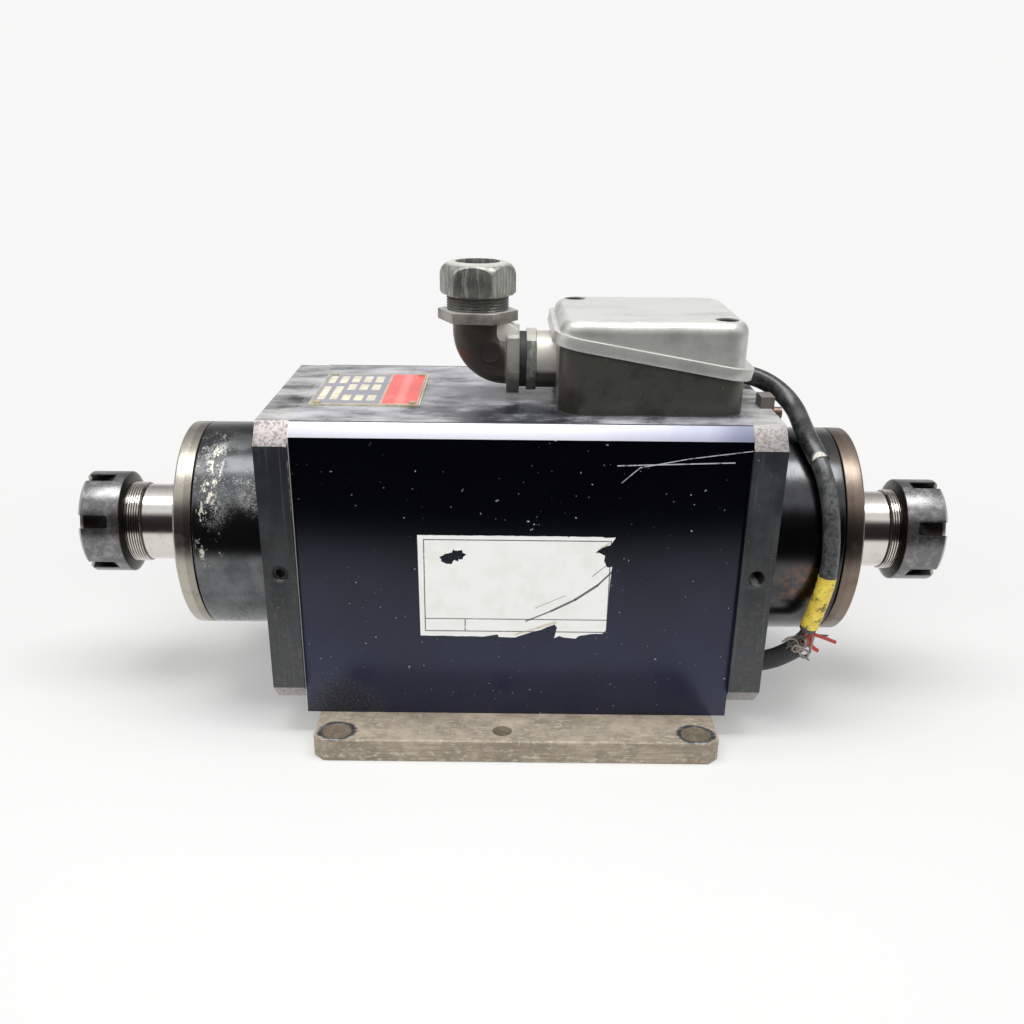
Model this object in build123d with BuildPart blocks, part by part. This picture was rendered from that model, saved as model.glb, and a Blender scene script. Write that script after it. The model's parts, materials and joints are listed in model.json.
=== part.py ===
from build123d import *
import math
import os

# Double-ended, liquid-cooled milling motor spindle. Millimetres, +X along the spindle,
# -Y towards the operator's side, +Z up. The origin is under the middle of the base plate.

# --- overall -------------------------------------------------------------------------
axis_height = 105.0          # spindle axis above the mounting face
fit_gap = 0.05               # radial clearance of a located or running fit
screw_gap = 0.1              # radial clearance round a threaded stretch
clearance_gap = 0.3          # radial clearance round a screw's plain stretch
gasket_thickness = 0.8

# --- base plate ----------------------------------------------------------------------
base_length = 236.0
base_width = 230.0
base_thickness = 14.0
base_corner = 6.0
base_edge = 0.8
mount_inset_x = 13.0
mount_inset_y = 10.0
mount_hole_diameter = 17.0
jack_hole_diameter = 11.5
jack_hole_shift = -8.3
jack_hole_inset = 12.0
base_screw_inset_x = 36.0     # from the ends of the motor body
base_screw_inset_y = 37.5     # from the outside of the jacket covers
base_screw_depth = 18.0

# --- motor body and its jacket covers ------------------------------------------------
body_length = 252.0
body_top = 190.0
cover_span = 165.0           # over both jacket covers
cover_thickness = 8.0
cover_chamfer = 7.2
stator_diameter = 120.0
jacket_length = 210.0        # cooling channel loop, outside edges
jacket_height = 130.0
channel_width = 20.0
channel_depth = 8.0
channel_corner = 8.0
feed_diameter = 7.0
gasket_margin = 2.0
body_edge = 0.6

# --- end plates ----------------------------------------------------------------------
plate_thickness = 18.5
plate_width = 170.0
plate_chamfer = 11.5
port_height = 104.3
port_bore_diameter = 8.6     # G1/8 tapping bore
port_mouth_diameter = 10.8
port_depth = 19.0
plate_screw_y = 132.0        # spacing of the corner screws
plate_screw_z = 106.0
plate_screw_grip = 10.0      # plate left under the screw head
plate_screw_bite = 14.0      # screw length inside the body

# --- screws: shank radius, head radius, head height, socket across flats --------------
m8_shank, m8_head, m8_head_height, m8_socket = 4.0, 6.5, 8.0, 6.0
m6_shank, m6_head, m6_head_height, m6_socket = 3.0, 5.0, 6.0, 5.0
m5_shank, m5_head, m5_head_height, m5_socket = 2.5, 4.25, 5.0, 4.0
socket_share = 0.5           # socket depth over head height

# --- bearing housings and end rings --------------------------------------------------
housing_diameter = 126.5
housing_end = 190.0          # distance of the end ring's joint from the middle
ring_thickness = 11.0
ring_edge = 1.0
joint_chamfer = 0.8
spigot_diameter = 98.0
spigot_reach = 4.0           # spigot past the end plate, into the body
ring_screw_circle = 55.5     # radius of the screw circle
ring_screw_count = 6
ring_screw_bite = 10.0       # screw length inside the end plate
shoulder_radius = 40.0
clamp_wall = 5.45
seal_thickness = 7.0
seal_radius = 32.0
labyrinth_gap = 0.35

# --- bearings ------------------------------------------------------------------------
bearing_start = 150.0        # distance of the bearing's inner face from the middle
bearing_width = 18.0
bearing_bore = 55.0
bearing_outside = 90.0
ball_diameter = 11.0
ball_count = 12
ball_gap = 0.1
land_gap = 3.25              # from the ball circle to each ring's land
cage_width = 14.0
cage_wall = 3.6
spring_space = 3.0
bearing_nut_width = 11.0
bearing_nut_radius = 37.4
bearing_nut_notch = 5.0
bearing_nut_notch_depth = 2.5

# --- spindle shaft -------------------------------------------------------------------
rotor_seat_diameter = 60.0
shaft_shoulder_diameter = 64.0
shaft_shoulder_width = 10.0
journal_diameter = 47.5
relief_diameter = 52.0
journal_start = 188.0
nose_thread_diameter = 50.0
nose_pitch = 1.5
left_nose = 254.0            # distance of each nose face from the middle
right_nose = 251.4
nose_thread_length = 22.0
nose_chamfer = 1.0
through_bore_diameter = 26.0
through_bore_depth = 70.0

# --- rotor and stator ----------------------------------------------------------------
core_length = 140.0
rotor_diameter = 84.7
air_gap = 0.35
end_ring_length = 10.0
end_ring_inset = 1.2
winding_length = 26.0
winding_inner_radius = 46.0
winding_outer_radius = 57.0
winding_round = 4.5

# --- collets -------------------------------------------------------------------------
collet_length = 46.0
collet_diameter = 41.0
collet_taper = 8.0           # degrees, half angle
collet_taper_length = 35.5   # from the small end to the nose face when clamped
collet_land = 1.0
collet_groove_length = 3.5
collet_groove_radius = 17.6
collet_collar_radius = 19.4
collet_bore_diameter = 20.0
collet_slit = 1.2
collet_slits = 8
collet_web = 5.0             # unslit stretch at each end
seat_angle = 30.0            # degrees, half angle of the nut's seat
left_release = 3.4           # how far each collet stands out of its clamped place
right_release = 0.0

# --- collet nuts ---------------------------------------------------------------------
nut_diameter = 63.0
nut_length = 26.5
nut_cap = 11.0               # nut length in front of the nose face when clamped
nut_cavity = 0.6             # free space in front of the nose face
nut_cavity_radius = 21.4
nut_front_chamfer = 1.6
nut_back_chamfer = 2.0
nut_back_radius = 26.6
nut_slot_count = 6
nut_slot_width = 8.0
nut_slot_radius = 27.0
nut_slot_flat = 11.0
nut_slot_length = 19.0
left_slot_angle = 18.0       # first slot, degrees above the operator's side
right_slot_angle = 20.0

# --- terminal box --------------------------------------------------------------------
box_margin = 1.0             # from the body's right end
box_y = -7.0
box_length = 104.0
box_width = 100.0
box_corner = 14.0
box_wall = 4.0
box_floor = 5.0
box_passage_diameter = 16.0
box_passage_inset = 33.0     # from the box's right side
box_screw_spacing_x = 50.0
box_screw_spacing_y = 70.0
box_screw_bite = 12.0
rim_height = 218.6           # lid rim's lower edge at the middle of the box
rim_tilt = 9.9               # degrees, falling towards +X
rim_thickness = 6.3
rim_overhang = 4.0
rim_round = 1.5
wall_rise = 2.0              # how far the box wall stands up inside the rim
lid_gasket_thickness = 1.2
lid_top = 241.0
lid_edge_round = 7.0
lid_play = 0.3
lid_screw_inset = 12.5
lid_recess_radius = 6.5
lid_column_radius = 9.0
box_column_radius = 7.0
lid_screw_grip = 6.0
lid_screw_bite = 10.0

# --- terminal board ------------------------------------------------------------------
board_inset = 35.0           # strip's middle from the box's left side
board_length = 50.0
board_width = 34.0
board_thickness = 6.0
board_foot = 6.0
stud_radius = 2.0
stud_height = 14.0
stud_spacing_x = 16.0
stud_spacing_y = 16.0
stud_nut_radius = 4.0
stud_nut_height = 3.2

# --- angled cable gland --------------------------------------------------------------
gland_inset = 46.0           # upright axis from the box's left side
gland_y = -5.0
gland_height = 211.0         # height of the gland's thread into the box
boss_radius = 16.3
boss_length = 11.5
elbow_radius = 14.5
elbow_bend = 16.5
elbow_bore_radius = 11.0
elbow_thread_radius = 12.0
elbow_thread_bite = 6.0      # how far the thread reaches into the box
hex_turn = -6.6              # degrees, how the wrench flats stand round the upright axis
collar_across = 40.0         # elbow's wrench collar, across corners
collar_inset = 29.0          # from the box's left side
collar_length = 7.5
collar_turn = 14.0
washer_radius = 16.0
washer_length = 4.0
locknut_across = 36.0
locknut_length = 6.0
flange_across = 47.4
flange_bottom = 233.5
flange_thickness = 6.0
gland_thread_radius = 17.5
gland_thread_top = 257.0
seal_seat_radius = 15.8
seal_seat_bottom = 246.0
gland_seal_bore_radius = 10.0
gland_seal_proud = 0.3
thrust_ring_thickness = 1.5
gland_nut_across = 44.4
gland_nut_bottom = 248.0
gland_nut_height = 18.0
gland_nut_crown = 8.0
gland_nut_opening = 13.0
gland_nut_edge = 1.5
stack_gap = 0.1              # axial play in the gland's clamped stack

# --- rating plate --------------------------------------------------------------------
rating_margin = 4.7          # from the body's left end
rating_y = 2.3
rating_length = 64.0
rating_width = 84.0
rating_thickness = 0.8
rating_corner = 1.5
rating_pin_inset = 4.5
pin_radius = 1.3
pin_head_radius = 2.2
pin_head_height = 1.0
pin_depth = 5.0

# --- leads at the right-hand end -----------------------------------------------------
lead_diameter = 10.0
lead_route = (
    (127.0, 20.6, 198.2), (140.2, 20.6, 198.2), (152.4, 17.3, 194.6), (162.2, 10.4, 188.4),
    (168.1, 0.1, 181.4), (169.3, -13.3, 175.4), (170.4, -27.9, 169.9), (174.2, -40.9, 162.2),
    (177.3, -54.5, 149.8), (179.1, -64.1, 133.8), (180.1, -69.7, 116.1), (179.6, -71.1, 98.1),
    (176.8, -69.3, 80.8), (173.7, -66.5, 65.0),
)
braid_diameter = 12.4
braid_route = (
    (139.5, -54.8, 37.0), (148.5, -54.8, 37.0), (157.3, -54.8, 38.9), (165.0, -54.8, 42.3),
    (171.9, -55.1, 47.1),
)
run_share = 0.45             # share of the shorter run that a bend may use
fray_radius = 5.5
fray_overlap = 12.0          # stretch past each end before the ends are trimmed
lead_gland_radius = 7.5
lead_gland_length = 8.0
lead_gland_collar = 3.0
grommet_radius = 9.5
grommet_flange = 1.5
grommet_depth = 6.0
grommet_neck_radius = 8.0
clip_length = 6.3
clip_width = 14.0
clip_height = 6.5
clip_y = -28.5
clip_leg = 1.5
clip_leg_drop = 9.0
clip_screw_drop = 4.0
clip_screw_radius = 2.0
clip_screw_bite = 8.0
clip_head_radius = 3.4
clip_head_length = 6.0

# --- worked-out sizes ----------------------------------------------------------------
body_bottom = base_thickness
mount_spacing_x = base_length - 2 * mount_inset_x
mount_spacing_y = base_width - 2 * mount_inset_y
jack_hole_spacing = base_width - 2 * jack_hole_inset
base_screw_spacing_x = body_length - 2 * base_screw_inset_x
base_screw_spacing_y = cover_span - 2 * base_screw_inset_y
body_half_width = cover_span / 2 - cover_thickness - gasket_thickness
body_height = body_top - body_bottom
body_middle = (body_top + body_bottom) / 2
plate_inner = body_length / 2
plate_outer = plate_inner + plate_thickness
plate_middle = (plate_inner + plate_outer) / 2
plate_head_seat = plate_inner + plate_screw_grip
stator_radius = stator_diameter / 2
housing_radius = housing_diameter / 2
ring_face = housing_end + ring_thickness
ring_head_seat = ring_face - m6_head_height
feed_y = -(body_half_width - channel_depth / 2 - gasket_thickness / 2)
rotor_radius = rotor_diameter / 2
bearing_end = bearing_start + bearing_width
bearing_middle = bearing_start + bearing_width / 2
ball_circle = (bearing_bore + bearing_outside) / 4
ball_radius = ball_diameter / 2
rating_x = -plate_inner + rating_margin + rating_length / 2
box_x = plate_inner - box_margin - box_length / 2
box_passage_x = box_x + box_length / 2 - box_passage_inset
board_x = box_x - box_length / 2 + board_inset
box_bottom = body_top + gasket_thickness
box_floor_top = box_bottom + box_floor
lid_screws_xy = (
    (box_x + box_length / 2 - lid_screw_inset, box_y - box_width / 2 + lid_screw_inset),
    (box_x - box_length / 2 + lid_screw_inset, box_y + box_width / 2 - lid_screw_inset),
)
ledge_level = wall_rise + lid_gasket_thickness
box_left = box_x - box_length / 2
box_right = box_x + box_length / 2
gland_x = box_left - gland_inset
collar_start = box_left - collar_inset
elbow_thread_end = box_left + elbow_thread_bite
thrust_ring_bottom = gland_thread_top + gland_seal_proud + stack_gap
lead_exit = (box_right, lead_route[0][1], lead_route[0][2])
braid_exit = (plate_outer, braid_route[0][1], braid_route[0][2])

SPINDLE_AXIS = Axis((0, 0, axis_height), (1, 0, 0))
SPINDLE_PLANE = Plane(origin=(0, 0, axis_height), x_dir=(1, 0, 0), z_dir=(0, -1, 0))
GLAND_AXIS = Axis((gland_x, gland_y, 0), (0, 0, 1))
GLAND_PLANE = Plane(origin=(gland_x, gland_y, 0), x_dir=(1, 0, 0), z_dir=(0, -1, 0))
rim_slope = math.radians(rim_tilt)
RIM_PLANE = Plane(
    origin=(box_x, box_y, rim_height),
    x_dir=(math.cos(rim_slope), 0, -math.sin(rim_slope)),
    z_dir=(math.sin(rim_slope), 0, math.cos(rim_slope)),
)
LEFT, RIGHT = -1, 1
SIDES = {"left": LEFT, "right": RIGHT}


def save(piece, node):
    """Label a finished piece and write it under its node's name."""
    piece.part.label = node
    export_step(piece.part, f"parts/{node}.step")


def turn(outline, axis=SPINDLE_AXIS, plane=SPINDLE_PLANE, mode=Mode.ADD):
    """Turn a closed outline of (along, radius) points about an axis, into the open part."""
    with BuildSketch(plane) as section:
        with BuildLine():
            Polyline(*outline, close=True)
        make_face()
    revolve(section.sketch, axis=axis, mode=mode)


def ring_outline(start, end, inner, outer):
    """Outline of a plain ring between two distances along its axis."""
    return ((start, inner), (start, outer), (end, outer), (end, inner))


def drill(origin, direction, radius, depth, mode=Mode.SUBTRACT):
    """Cut, or add, a straight cylinder from a point along a direction."""
    with BuildSketch(Plane(origin=origin, z_dir=direction)) as section:
        Circle(radius)
    extrude(section.sketch, amount=depth, mode=mode)


def cap_screw(seat, inward, shank, reach, head, head_height, socket):
    """Add a socket head screw: seat is under its head and inward points along its shank."""
    outward = tuple(-part for part in inward)
    drill(seat, inward, shank, reach, mode=Mode.ADD)
    drill(seat, outward, head, head_height, mode=Mode.ADD)
    face = tuple(at + step * head_height for at, step in zip(seat, outward))
    with BuildSketch(Plane(origin=face, z_dir=inward)) as recess:
        RegularPolygon(socket / 2, 6, major_radius=False)
    extrude(recess.sketch, amount=head_height * socket_share, mode=Mode.SUBTRACT)


def level_z(x, level):
    """Height, at a distance x, of the sloped plane that lies a level above the rim's edge."""
    return rim_height - (x - box_x) * math.tan(rim_slope) + level / math.cos(rim_slope)


def lead_path(route):
    """Straight runs joined by the largest arcs that each pair of runs allows."""
    points = [Vector(*point) for point in route]
    radii = []
    for before, here, after in zip(points, points[1:], points[2:]):
        half_turn = math.radians((here - before).get_angle(after - here)) / 2
        run = min((here - before).length, (after - here).length)
        radii.append(run_share * run / math.tan(half_turn))
    print("bend radii", [round(radius, 1) for radius in radii])
    return FilletPolyline(*points, radius=radii)


def lead(route, diameter):
    """A round lead swept along its route."""
    with BuildPart() as piece:
        with BuildLine():
            path = lead_path(route)
        with BuildSketch(Plane(origin=path @ 0, z_dir=path % 0)):
            Circle(diameter / 2)
        sweep()
    expected = math.pi * diameter**2 / 4 * path.length
    print("lead volume over section times length", round(piece.part.volume / expected, 4))
    return piece


os.makedirs("parts", exist_ok=True)

# --- base plate and its screws -------------------------------------------------------
with BuildPart() as base_plate:
    with BuildSketch() as base_outline:
        Rectangle(base_length, base_width)
        chamfer(base_outline.vertices(), length=base_corner)
    extrude(amount=base_thickness)
    chamfer(base_plate.edges().group_by(Axis.Z)[-1], length=base_edge)
    with GridLocations(mount_spacing_x, mount_spacing_y, 2, 2):
        Hole(radius=mount_hole_diameter / 2)
    with Locations((jack_hole_shift, 0)):
        with GridLocations(0, jack_hole_spacing, 1, 2):
            Hole(radius=jack_hole_diameter / 2)
    with BuildSketch() as head_recesses:
        with GridLocations(base_screw_spacing_x, base_screw_spacing_y, 2, 2):
            Circle(m8_head + clearance_gap)
    extrude(amount=m8_head_height + clearance_gap, mode=Mode.SUBTRACT)
    with GridLocations(base_screw_spacing_x, base_screw_spacing_y, 2, 2):
        Hole(radius=m8_shank + clearance_gap)
save(base_plate, "base_plate")

with BuildPart() as base_screws:
    for place in GridLocations(base_screw_spacing_x, base_screw_spacing_y, 2, 2):
        spot = (place.position.X, place.position.Y, m8_head_height + clearance_gap)
        reach = base_thickness - spot[2] + base_screw_depth
        cap_screw(spot, (0, 0, 1), m8_shank, reach, m8_head, m8_head_height, m8_socket)
save(base_screws, "base_screws")


# --- motor body ----------------------------------------------------------------------
def plate_screw_places():
    """The four corner screws of an end plate, as (y, z)."""
    places = GridLocations(plate_screw_y, plate_screw_z, 2, 2)
    return [(place.position.X, axis_height + place.position.Y) for place in places]


with BuildPart() as motor_body:
    with BuildSketch(Plane.XY.offset(body_bottom)):
        Rectangle(body_length, 2 * body_half_width)
    extrude(amount=body_height)
    turn(((-plate_inner, 0), (-plate_inner, stator_radius + fit_gap),
          (plate_inner, stator_radius + fit_gap), (plate_inner, 0)), mode=Mode.SUBTRACT)
    for facing in (-1, 1):
        jacket = Plane(
            origin=(0, facing * body_half_width, axis_height), x_dir=(1, 0, 0), z_dir=(0, -facing, 0)
        )
        with BuildSketch(jacket):
            RectangleRounded(jacket_length, jacket_height, channel_corner)
            Rectangle(
                jacket_length - 2 * channel_width, jacket_height - 2 * channel_width,
                mode=Mode.SUBTRACT,
            )
        extrude(amount=channel_depth, mode=Mode.SUBTRACT)
    for side in SIDES.values():
        feed_reach = (body_length - jacket_length) / 2 + channel_width / 2
        drill((side * plate_inner, feed_y, port_height), (-side, 0, 0), feed_diameter / 2, feed_reach)
        for y, z in plate_screw_places():
            drill((side * plate_inner, y, z), (-side, 0, 0), m8_shank + screw_gap,
                  plate_screw_bite + clearance_gap)
    for place in GridLocations(base_screw_spacing_x, base_screw_spacing_y, 2, 2):
        drill((place.position.X, place.position.Y, body_bottom), (0, 0, 1), m8_shank + screw_gap,
              base_screw_depth + clearance_gap)
    drill((box_passage_x, box_y, body_top), (0, 0, -1), box_passage_diameter / 2,
          body_top - axis_height)
    with Locations((box_x, box_y)):
        box_screw_places = GridLocations(box_screw_spacing_x, box_screw_spacing_y, 2, 2).locations
    for place in box_screw_places:
        drill((place.position.X, place.position.Y, body_top), (0, 0, -1), m5_shank + screw_gap,
              box_screw_bite + clearance_gap)
    with Locations((rating_x, rating_y)):
        pin_places = GridLocations(
            rating_length - 2 * rating_pin_inset, rating_width - 2 * rating_pin_inset, 2, 2
        ).locations
    for place in pin_places:
        drill((place.position.X, place.position.Y, body_top), (0, 0, -1), pin_radius + fit_gap,
              pin_depth + clearance_gap)
save(motor_body, "motor_body")


# --- jacket covers and gaskets -------------------------------------------------------
def jacket_cover(facing):
    """A flat cover over the cooling channels, chamfered along its top outer edge."""
    with BuildPart() as cover:
        plane = Plane(
            origin=(0, facing * cover_span / 2, body_middle), x_dir=(1, 0, 0), z_dir=(0, -facing, 0)
        )
        with BuildSketch(plane):
            Rectangle(body_length, body_height)
        extrude(amount=cover_thickness)
        outer_face = cover.faces().sort_by(Axis.Y)[0 if facing < 0 else -1]
        chamfer(outer_face.edges().sort_by(Axis.Z)[-1], length=cover_chamfer)
    return cover


save(jacket_cover(-1), "front_cover")
save(jacket_cover(1), "rear_cover")

with BuildPart() as jacket_gaskets:
    for facing in (-1, 1):
        joint = Plane(
            origin=(0, facing * body_half_width, body_middle), x_dir=(1, 0, 0), z_dir=(0, facing, 0)
        )
        with BuildSketch(joint):
            Rectangle(body_length, body_height)
            with Locations((0, axis_height - body_middle)):
                Rectangle(
                    jacket_length + 2 * gasket_margin, jacket_height + 2 * gasket_margin,
                    mode=Mode.SUBTRACT,
                )
        extrude(amount=gasket_thickness)
save(jacket_gaskets, "jacket_gaskets")


# --- end plates ----------------------------------------------------------------------
def ring_screw_places():
    """The screw circle of an end ring, as (y, z)."""
    step = 2 * math.pi / ring_screw_count
    return [
        (ring_screw_circle * math.cos(step * index), axis_height + ring_screw_circle * math.sin(step * index))
        for index in range(ring_screw_count)
    ]


def end_plate(side):
    """A square end plate with a coolant port in its front edge."""
    with BuildPart() as plate:
        with BuildSketch(Plane.YZ.offset(min(side * plate_inner, side * plate_outer))) as outline:
            with Locations((0, axis_height)):
                Rectangle(plate_width, plate_width)
            chamfer(outline.vertices(), length=plate_chamfer)
            with Locations((0, axis_height)):
                Circle(spigot_diameter / 2 + fit_gap, mode=Mode.SUBTRACT)
        extrude(amount=plate_thickness)
        port = (side * plate_middle, -plate_width / 2, port_height)
        drill(port, (0, 1, 0), port_bore_diameter / 2, port_depth)
        mouth_depth = (port_mouth_diameter - port_bore_diameter) / 2
        mouth = Plane(origin=port, x_dir=(0, 1, 0), z_dir=(1, 0, 0))
        turn(((0, 0), (0, port_mouth_diameter / 2), (mouth_depth, port_bore_diameter / 2), (mouth_depth, 0)),
             axis=Axis(port, (0, 1, 0)), plane=mouth, mode=Mode.SUBTRACT)
        drill((side * plate_inner, feed_y, port_height), (side, 0, 0), feed_diameter / 2,
              plate_thickness / 2)
        for y, z in plate_screw_places():
            drill((side * plate_inner, y, z), (side, 0, 0), m8_shank + clearance_gap, plate_thickness)
            drill((side * plate_head_seat, y, z), (side, 0, 0), m8_head + clearance_gap, plate_thickness)
        for y, z in ring_screw_places():
            drill((side * plate_outer, y, z), (-side, 0, 0), m6_shank + screw_gap,
                  ring_screw_bite + clearance_gap)
        if side == RIGHT:
            drill((plate_outer, clip_y, body_top - clip_screw_drop), (-1, 0, 0),
                  clip_screw_radius + screw_gap, clip_screw_bite)
            drill(braid_exit, (-1, 0, 0), grommet_neck_radius + fit_gap, grommet_depth + clearance_gap)
    return plate


for name, side in SIDES.items():
    save(end_plate(side), f"{name}_end_plate")

with BuildPart() as plate_screws:
    for side in SIDES.values():
        for y, z in plate_screw_places():
            cap_screw((side * plate_head_seat, y, z), (-side, 0, 0), m8_shank,
                      plate_screw_grip + plate_screw_bite, m8_head, m8_head_height, m8_socket)
save(plate_screws, "plate_screws")

with BuildPart() as port_plug:
    plug_face = -plate_width / 2 + port_mouth_diameter - port_bore_diameter
    drill((-plate_middle, plug_face, port_height), (0, 1, 0), port_bore_diameter / 2 - fit_gap,
          port_bore_diameter, mode=Mode.ADD)
    with BuildSketch(Plane(origin=(-plate_middle, plug_face, port_height), z_dir=(0, 1, 0))) as key:
        RegularPolygon(m6_socket / 2, 6, major_radius=False)
    extrude(key.sketch, amount=port_bore_diameter * socket_share, mode=Mode.SUBTRACT)
save(port_plug, "port_plug")


# --- bearing housings, end rings and seals -------------------------------------------
def bearing_housing(side, spring):
    """A turned housing: a spigot through the end plate and the bearing's seat."""
    seat_radius = bearing_outside / 2 + fit_gap
    shoulder = bearing_start - spring
    spigot_end = plate_inner - spigot_reach
    outline = (
        (spigot_end, shoulder_radius), (spigot_end, spigot_diameter / 2),
        (plate_outer, spigot_diameter / 2), (plate_outer, housing_radius),
        (housing_end - joint_chamfer, housing_radius), (housing_end, housing_radius - joint_chamfer),
        (housing_end, seat_radius), (shoulder, seat_radius), (shoulder, shoulder_radius),
    )
    with BuildPart() as housing:
        turn([(side * along, radius) for along, radius in outline])
        for y, z in ring_screw_places():
            drill((side * plate_outer, y, z), (side, 0, 0), m6_shank + clearance_gap,
                  housing_end - plate_outer)
    return housing


def end_ring(side):
    """The ring that closes a housing, clamps the bearing and holds the shaft seal."""
    clamp_outer = bearing_outside / 2 - fit_gap
    clamp_inner = clamp_outer - clamp_wall
    shaft_bore = journal_diameter / 2 + labyrinth_gap
    seat_end = housing_end + seal_thickness
    outline = (
        (bearing_end, clamp_inner), (bearing_end, clamp_outer), (housing_end, clamp_outer),
        (housing_end, housing_radius - joint_chamfer), (housing_end + joint_chamfer, housing_radius),
        (ring_face - ring_edge, housing_radius), (ring_face, housing_radius - ring_edge),
        (ring_face, shaft_bore), (seat_end, shaft_bore), (seat_end, seal_radius),
        (housing_end, seal_radius), (housing_end, clamp_inner),
    )
    with BuildPart() as ring:
        turn([(side * along, radius) for along, radius in outline])
        for y, z in ring_screw_places():
            drill((side * housing_end, y, z), (side, 0, 0), m6_shank + clearance_gap, ring_thickness)
            drill((side * ring_head_seat, y, z), (side, 0, 0), m6_head + clearance_gap, m6_head_height)
    return ring


def shaft_seal(side):
    """The seal ring pressed into an end ring."""
    with BuildPart() as seal:
        turn(ring_outline(side * housing_end, side * (housing_end + seal_thickness),
                          journal_diameter / 2 + ball_gap, seal_radius - fit_gap))
    return seal


for name, side in SIDES.items():
    spring = spring_space if side == RIGHT else 0
    save(bearing_housing(side, spring), f"{name}_bearing_housing")
    save(end_ring(side), f"{name}_end_ring")
    save(shaft_seal(side), f"{name}_shaft_seal")

with BuildPart() as ring_screws:
    for side in SIDES.values():
        for y, z in ring_screw_places():
            cap_screw((side * ring_head_seat, y, z), (-side, 0, 0), m6_shank,
                      ring_head_seat - plate_outer + ring_screw_bite, m6_head, m6_head_height, m6_socket)
save(ring_screws, "ring_screws")


# --- stator --------------------------------------------------------------------------
with BuildPart() as stator_core:
    turn(ring_outline(-core_length / 2, core_length / 2, rotor_radius + air_gap, stator_radius))
save(stator_core, "stator_core")

with BuildPart() as stator_windings:
    for side in SIDES.values():
        start = side * core_length / 2
        turn(ring_outline(start, start + side * winding_length, winding_inner_radius, winding_outer_radius))
    chamfer(stator_windings.edges().filter_by(GeomType.CIRCLE).group_by(Axis.X)[0], winding_round)
    chamfer(stator_windings.edges().filter_by(GeomType.CIRCLE).group_by(Axis.X)[-1], winding_round)
save(stator_windings, "stator_windings")

# --- spindle shaft and rotor ---------------------------------------------------------
def shaft_end(nose):
    """Outline of one half of the shaft's outside, from its nose to the rotor seat."""
    thread_start = nose - nose_thread_length
    bearing_nut_end = bearing_end + bearing_nut_width
    return (
        (nose, nose_thread_diameter / 2 - nose_chamfer), (nose - nose_chamfer, nose_thread_diameter / 2),
        (thread_start + nose_chamfer, nose_thread_diameter / 2), (thread_start, journal_diameter / 2),
        (journal_start, journal_diameter / 2), (journal_start, relief_diameter / 2),
        (bearing_nut_end, relief_diameter / 2), (bearing_nut_end, bearing_bore / 2),
        (bearing_start, bearing_bore / 2), (bearing_start, shaft_shoulder_diameter / 2),
        (bearing_start - shaft_shoulder_width, shaft_shoulder_diameter / 2),
        (bearing_start - shaft_shoulder_width, rotor_seat_diameter / 2),
    )


def collet_radius(inset):
    """Radius of the collet's taper at a distance inside the nose face."""
    return collet_diameter / 2 - inset * math.tan(math.radians(collet_taper))


with BuildPart() as spindle_shaft:
    left_half = [(-along, radius) for along, radius in shaft_end(left_nose)]
    right_half = list(reversed(shaft_end(right_nose)))
    turn([(-left_nose, 0)] + left_half + right_half + [(right_nose, 0)])
    for side, nose in ((LEFT, left_nose), (RIGHT, right_nose)):
        taper_end = nose - collet_taper_length - collet_land
        taper = (
            (side * nose, 0), (side * nose, collet_radius(0) + fit_gap),
            (side * taper_end, collet_radius(collet_taper_length + collet_land) + fit_gap),
            (side * taper_end, through_bore_diameter / 2),
            (side * (nose - through_bore_depth), through_bore_diameter / 2),
            (side * (nose - through_bore_depth), 0),
        )
        turn(taper, mode=Mode.SUBTRACT)
save(spindle_shaft, "spindle_shaft")

with BuildPart() as rotor_core:
    turn(ring_outline(-core_length / 2, core_length / 2, rotor_seat_diameter / 2 + fit_gap, rotor_radius))
save(rotor_core, "rotor_core")

with BuildPart() as rotor_end_rings:
    for side in SIDES.values():
        start = side * core_length / 2
        turn(ring_outline(start, start + side * end_ring_length, rotor_seat_diameter / 2 + end_ring_inset,
                          rotor_radius - end_ring_inset))
save(rotor_end_rings, "rotor_end_rings")


# --- bearings ------------------------------------------------------------------------
def ball_groove(side):
    """Cut the groove that the balls run in."""
    with BuildSketch(SPINDLE_PLANE) as groove:
        with Locations((side * bearing_middle, ball_circle)):
            Circle(ball_radius + ball_gap)
    revolve(groove.sketch, axis=SPINDLE_AXIS, mode=Mode.SUBTRACT)


def bearing_ring(side, inner, outer):
    """One grooved ring of a bearing."""
    with BuildPart() as ring:
        turn(ring_outline(side * bearing_start, side * bearing_end, inner, outer))
        ball_groove(side)
    return ring


def ball_places(side):
    """Centres of the balls."""
    step = 2 * math.pi / ball_count
    return [
        (side * bearing_middle, ball_circle * math.cos(step * index),
         axis_height + ball_circle * math.sin(step * index))
        for index in range(ball_count)
    ]


def bearing_balls(side):
    """The row of balls."""
    with BuildPart() as balls:
        with Locations(*ball_places(side)):
            Sphere(ball_radius)
    return balls


def bearing_cage(side):
    """The ring that spaces the balls, with one round pocket for each."""
    start = side * (bearing_middle - cage_width / 2)
    with BuildPart() as cage:
        turn(ring_outline(start, start + side * cage_width, ball_circle - cage_wall / 2,
                          ball_circle + cage_wall / 2))
        for x, y, z in ball_places(side):
            outward = (0, y / ball_circle, (z - axis_height) / ball_circle)
            drill((x, 0, axis_height), outward, ball_radius + ball_gap, ball_circle + cage_wall)
    return cage


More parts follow.
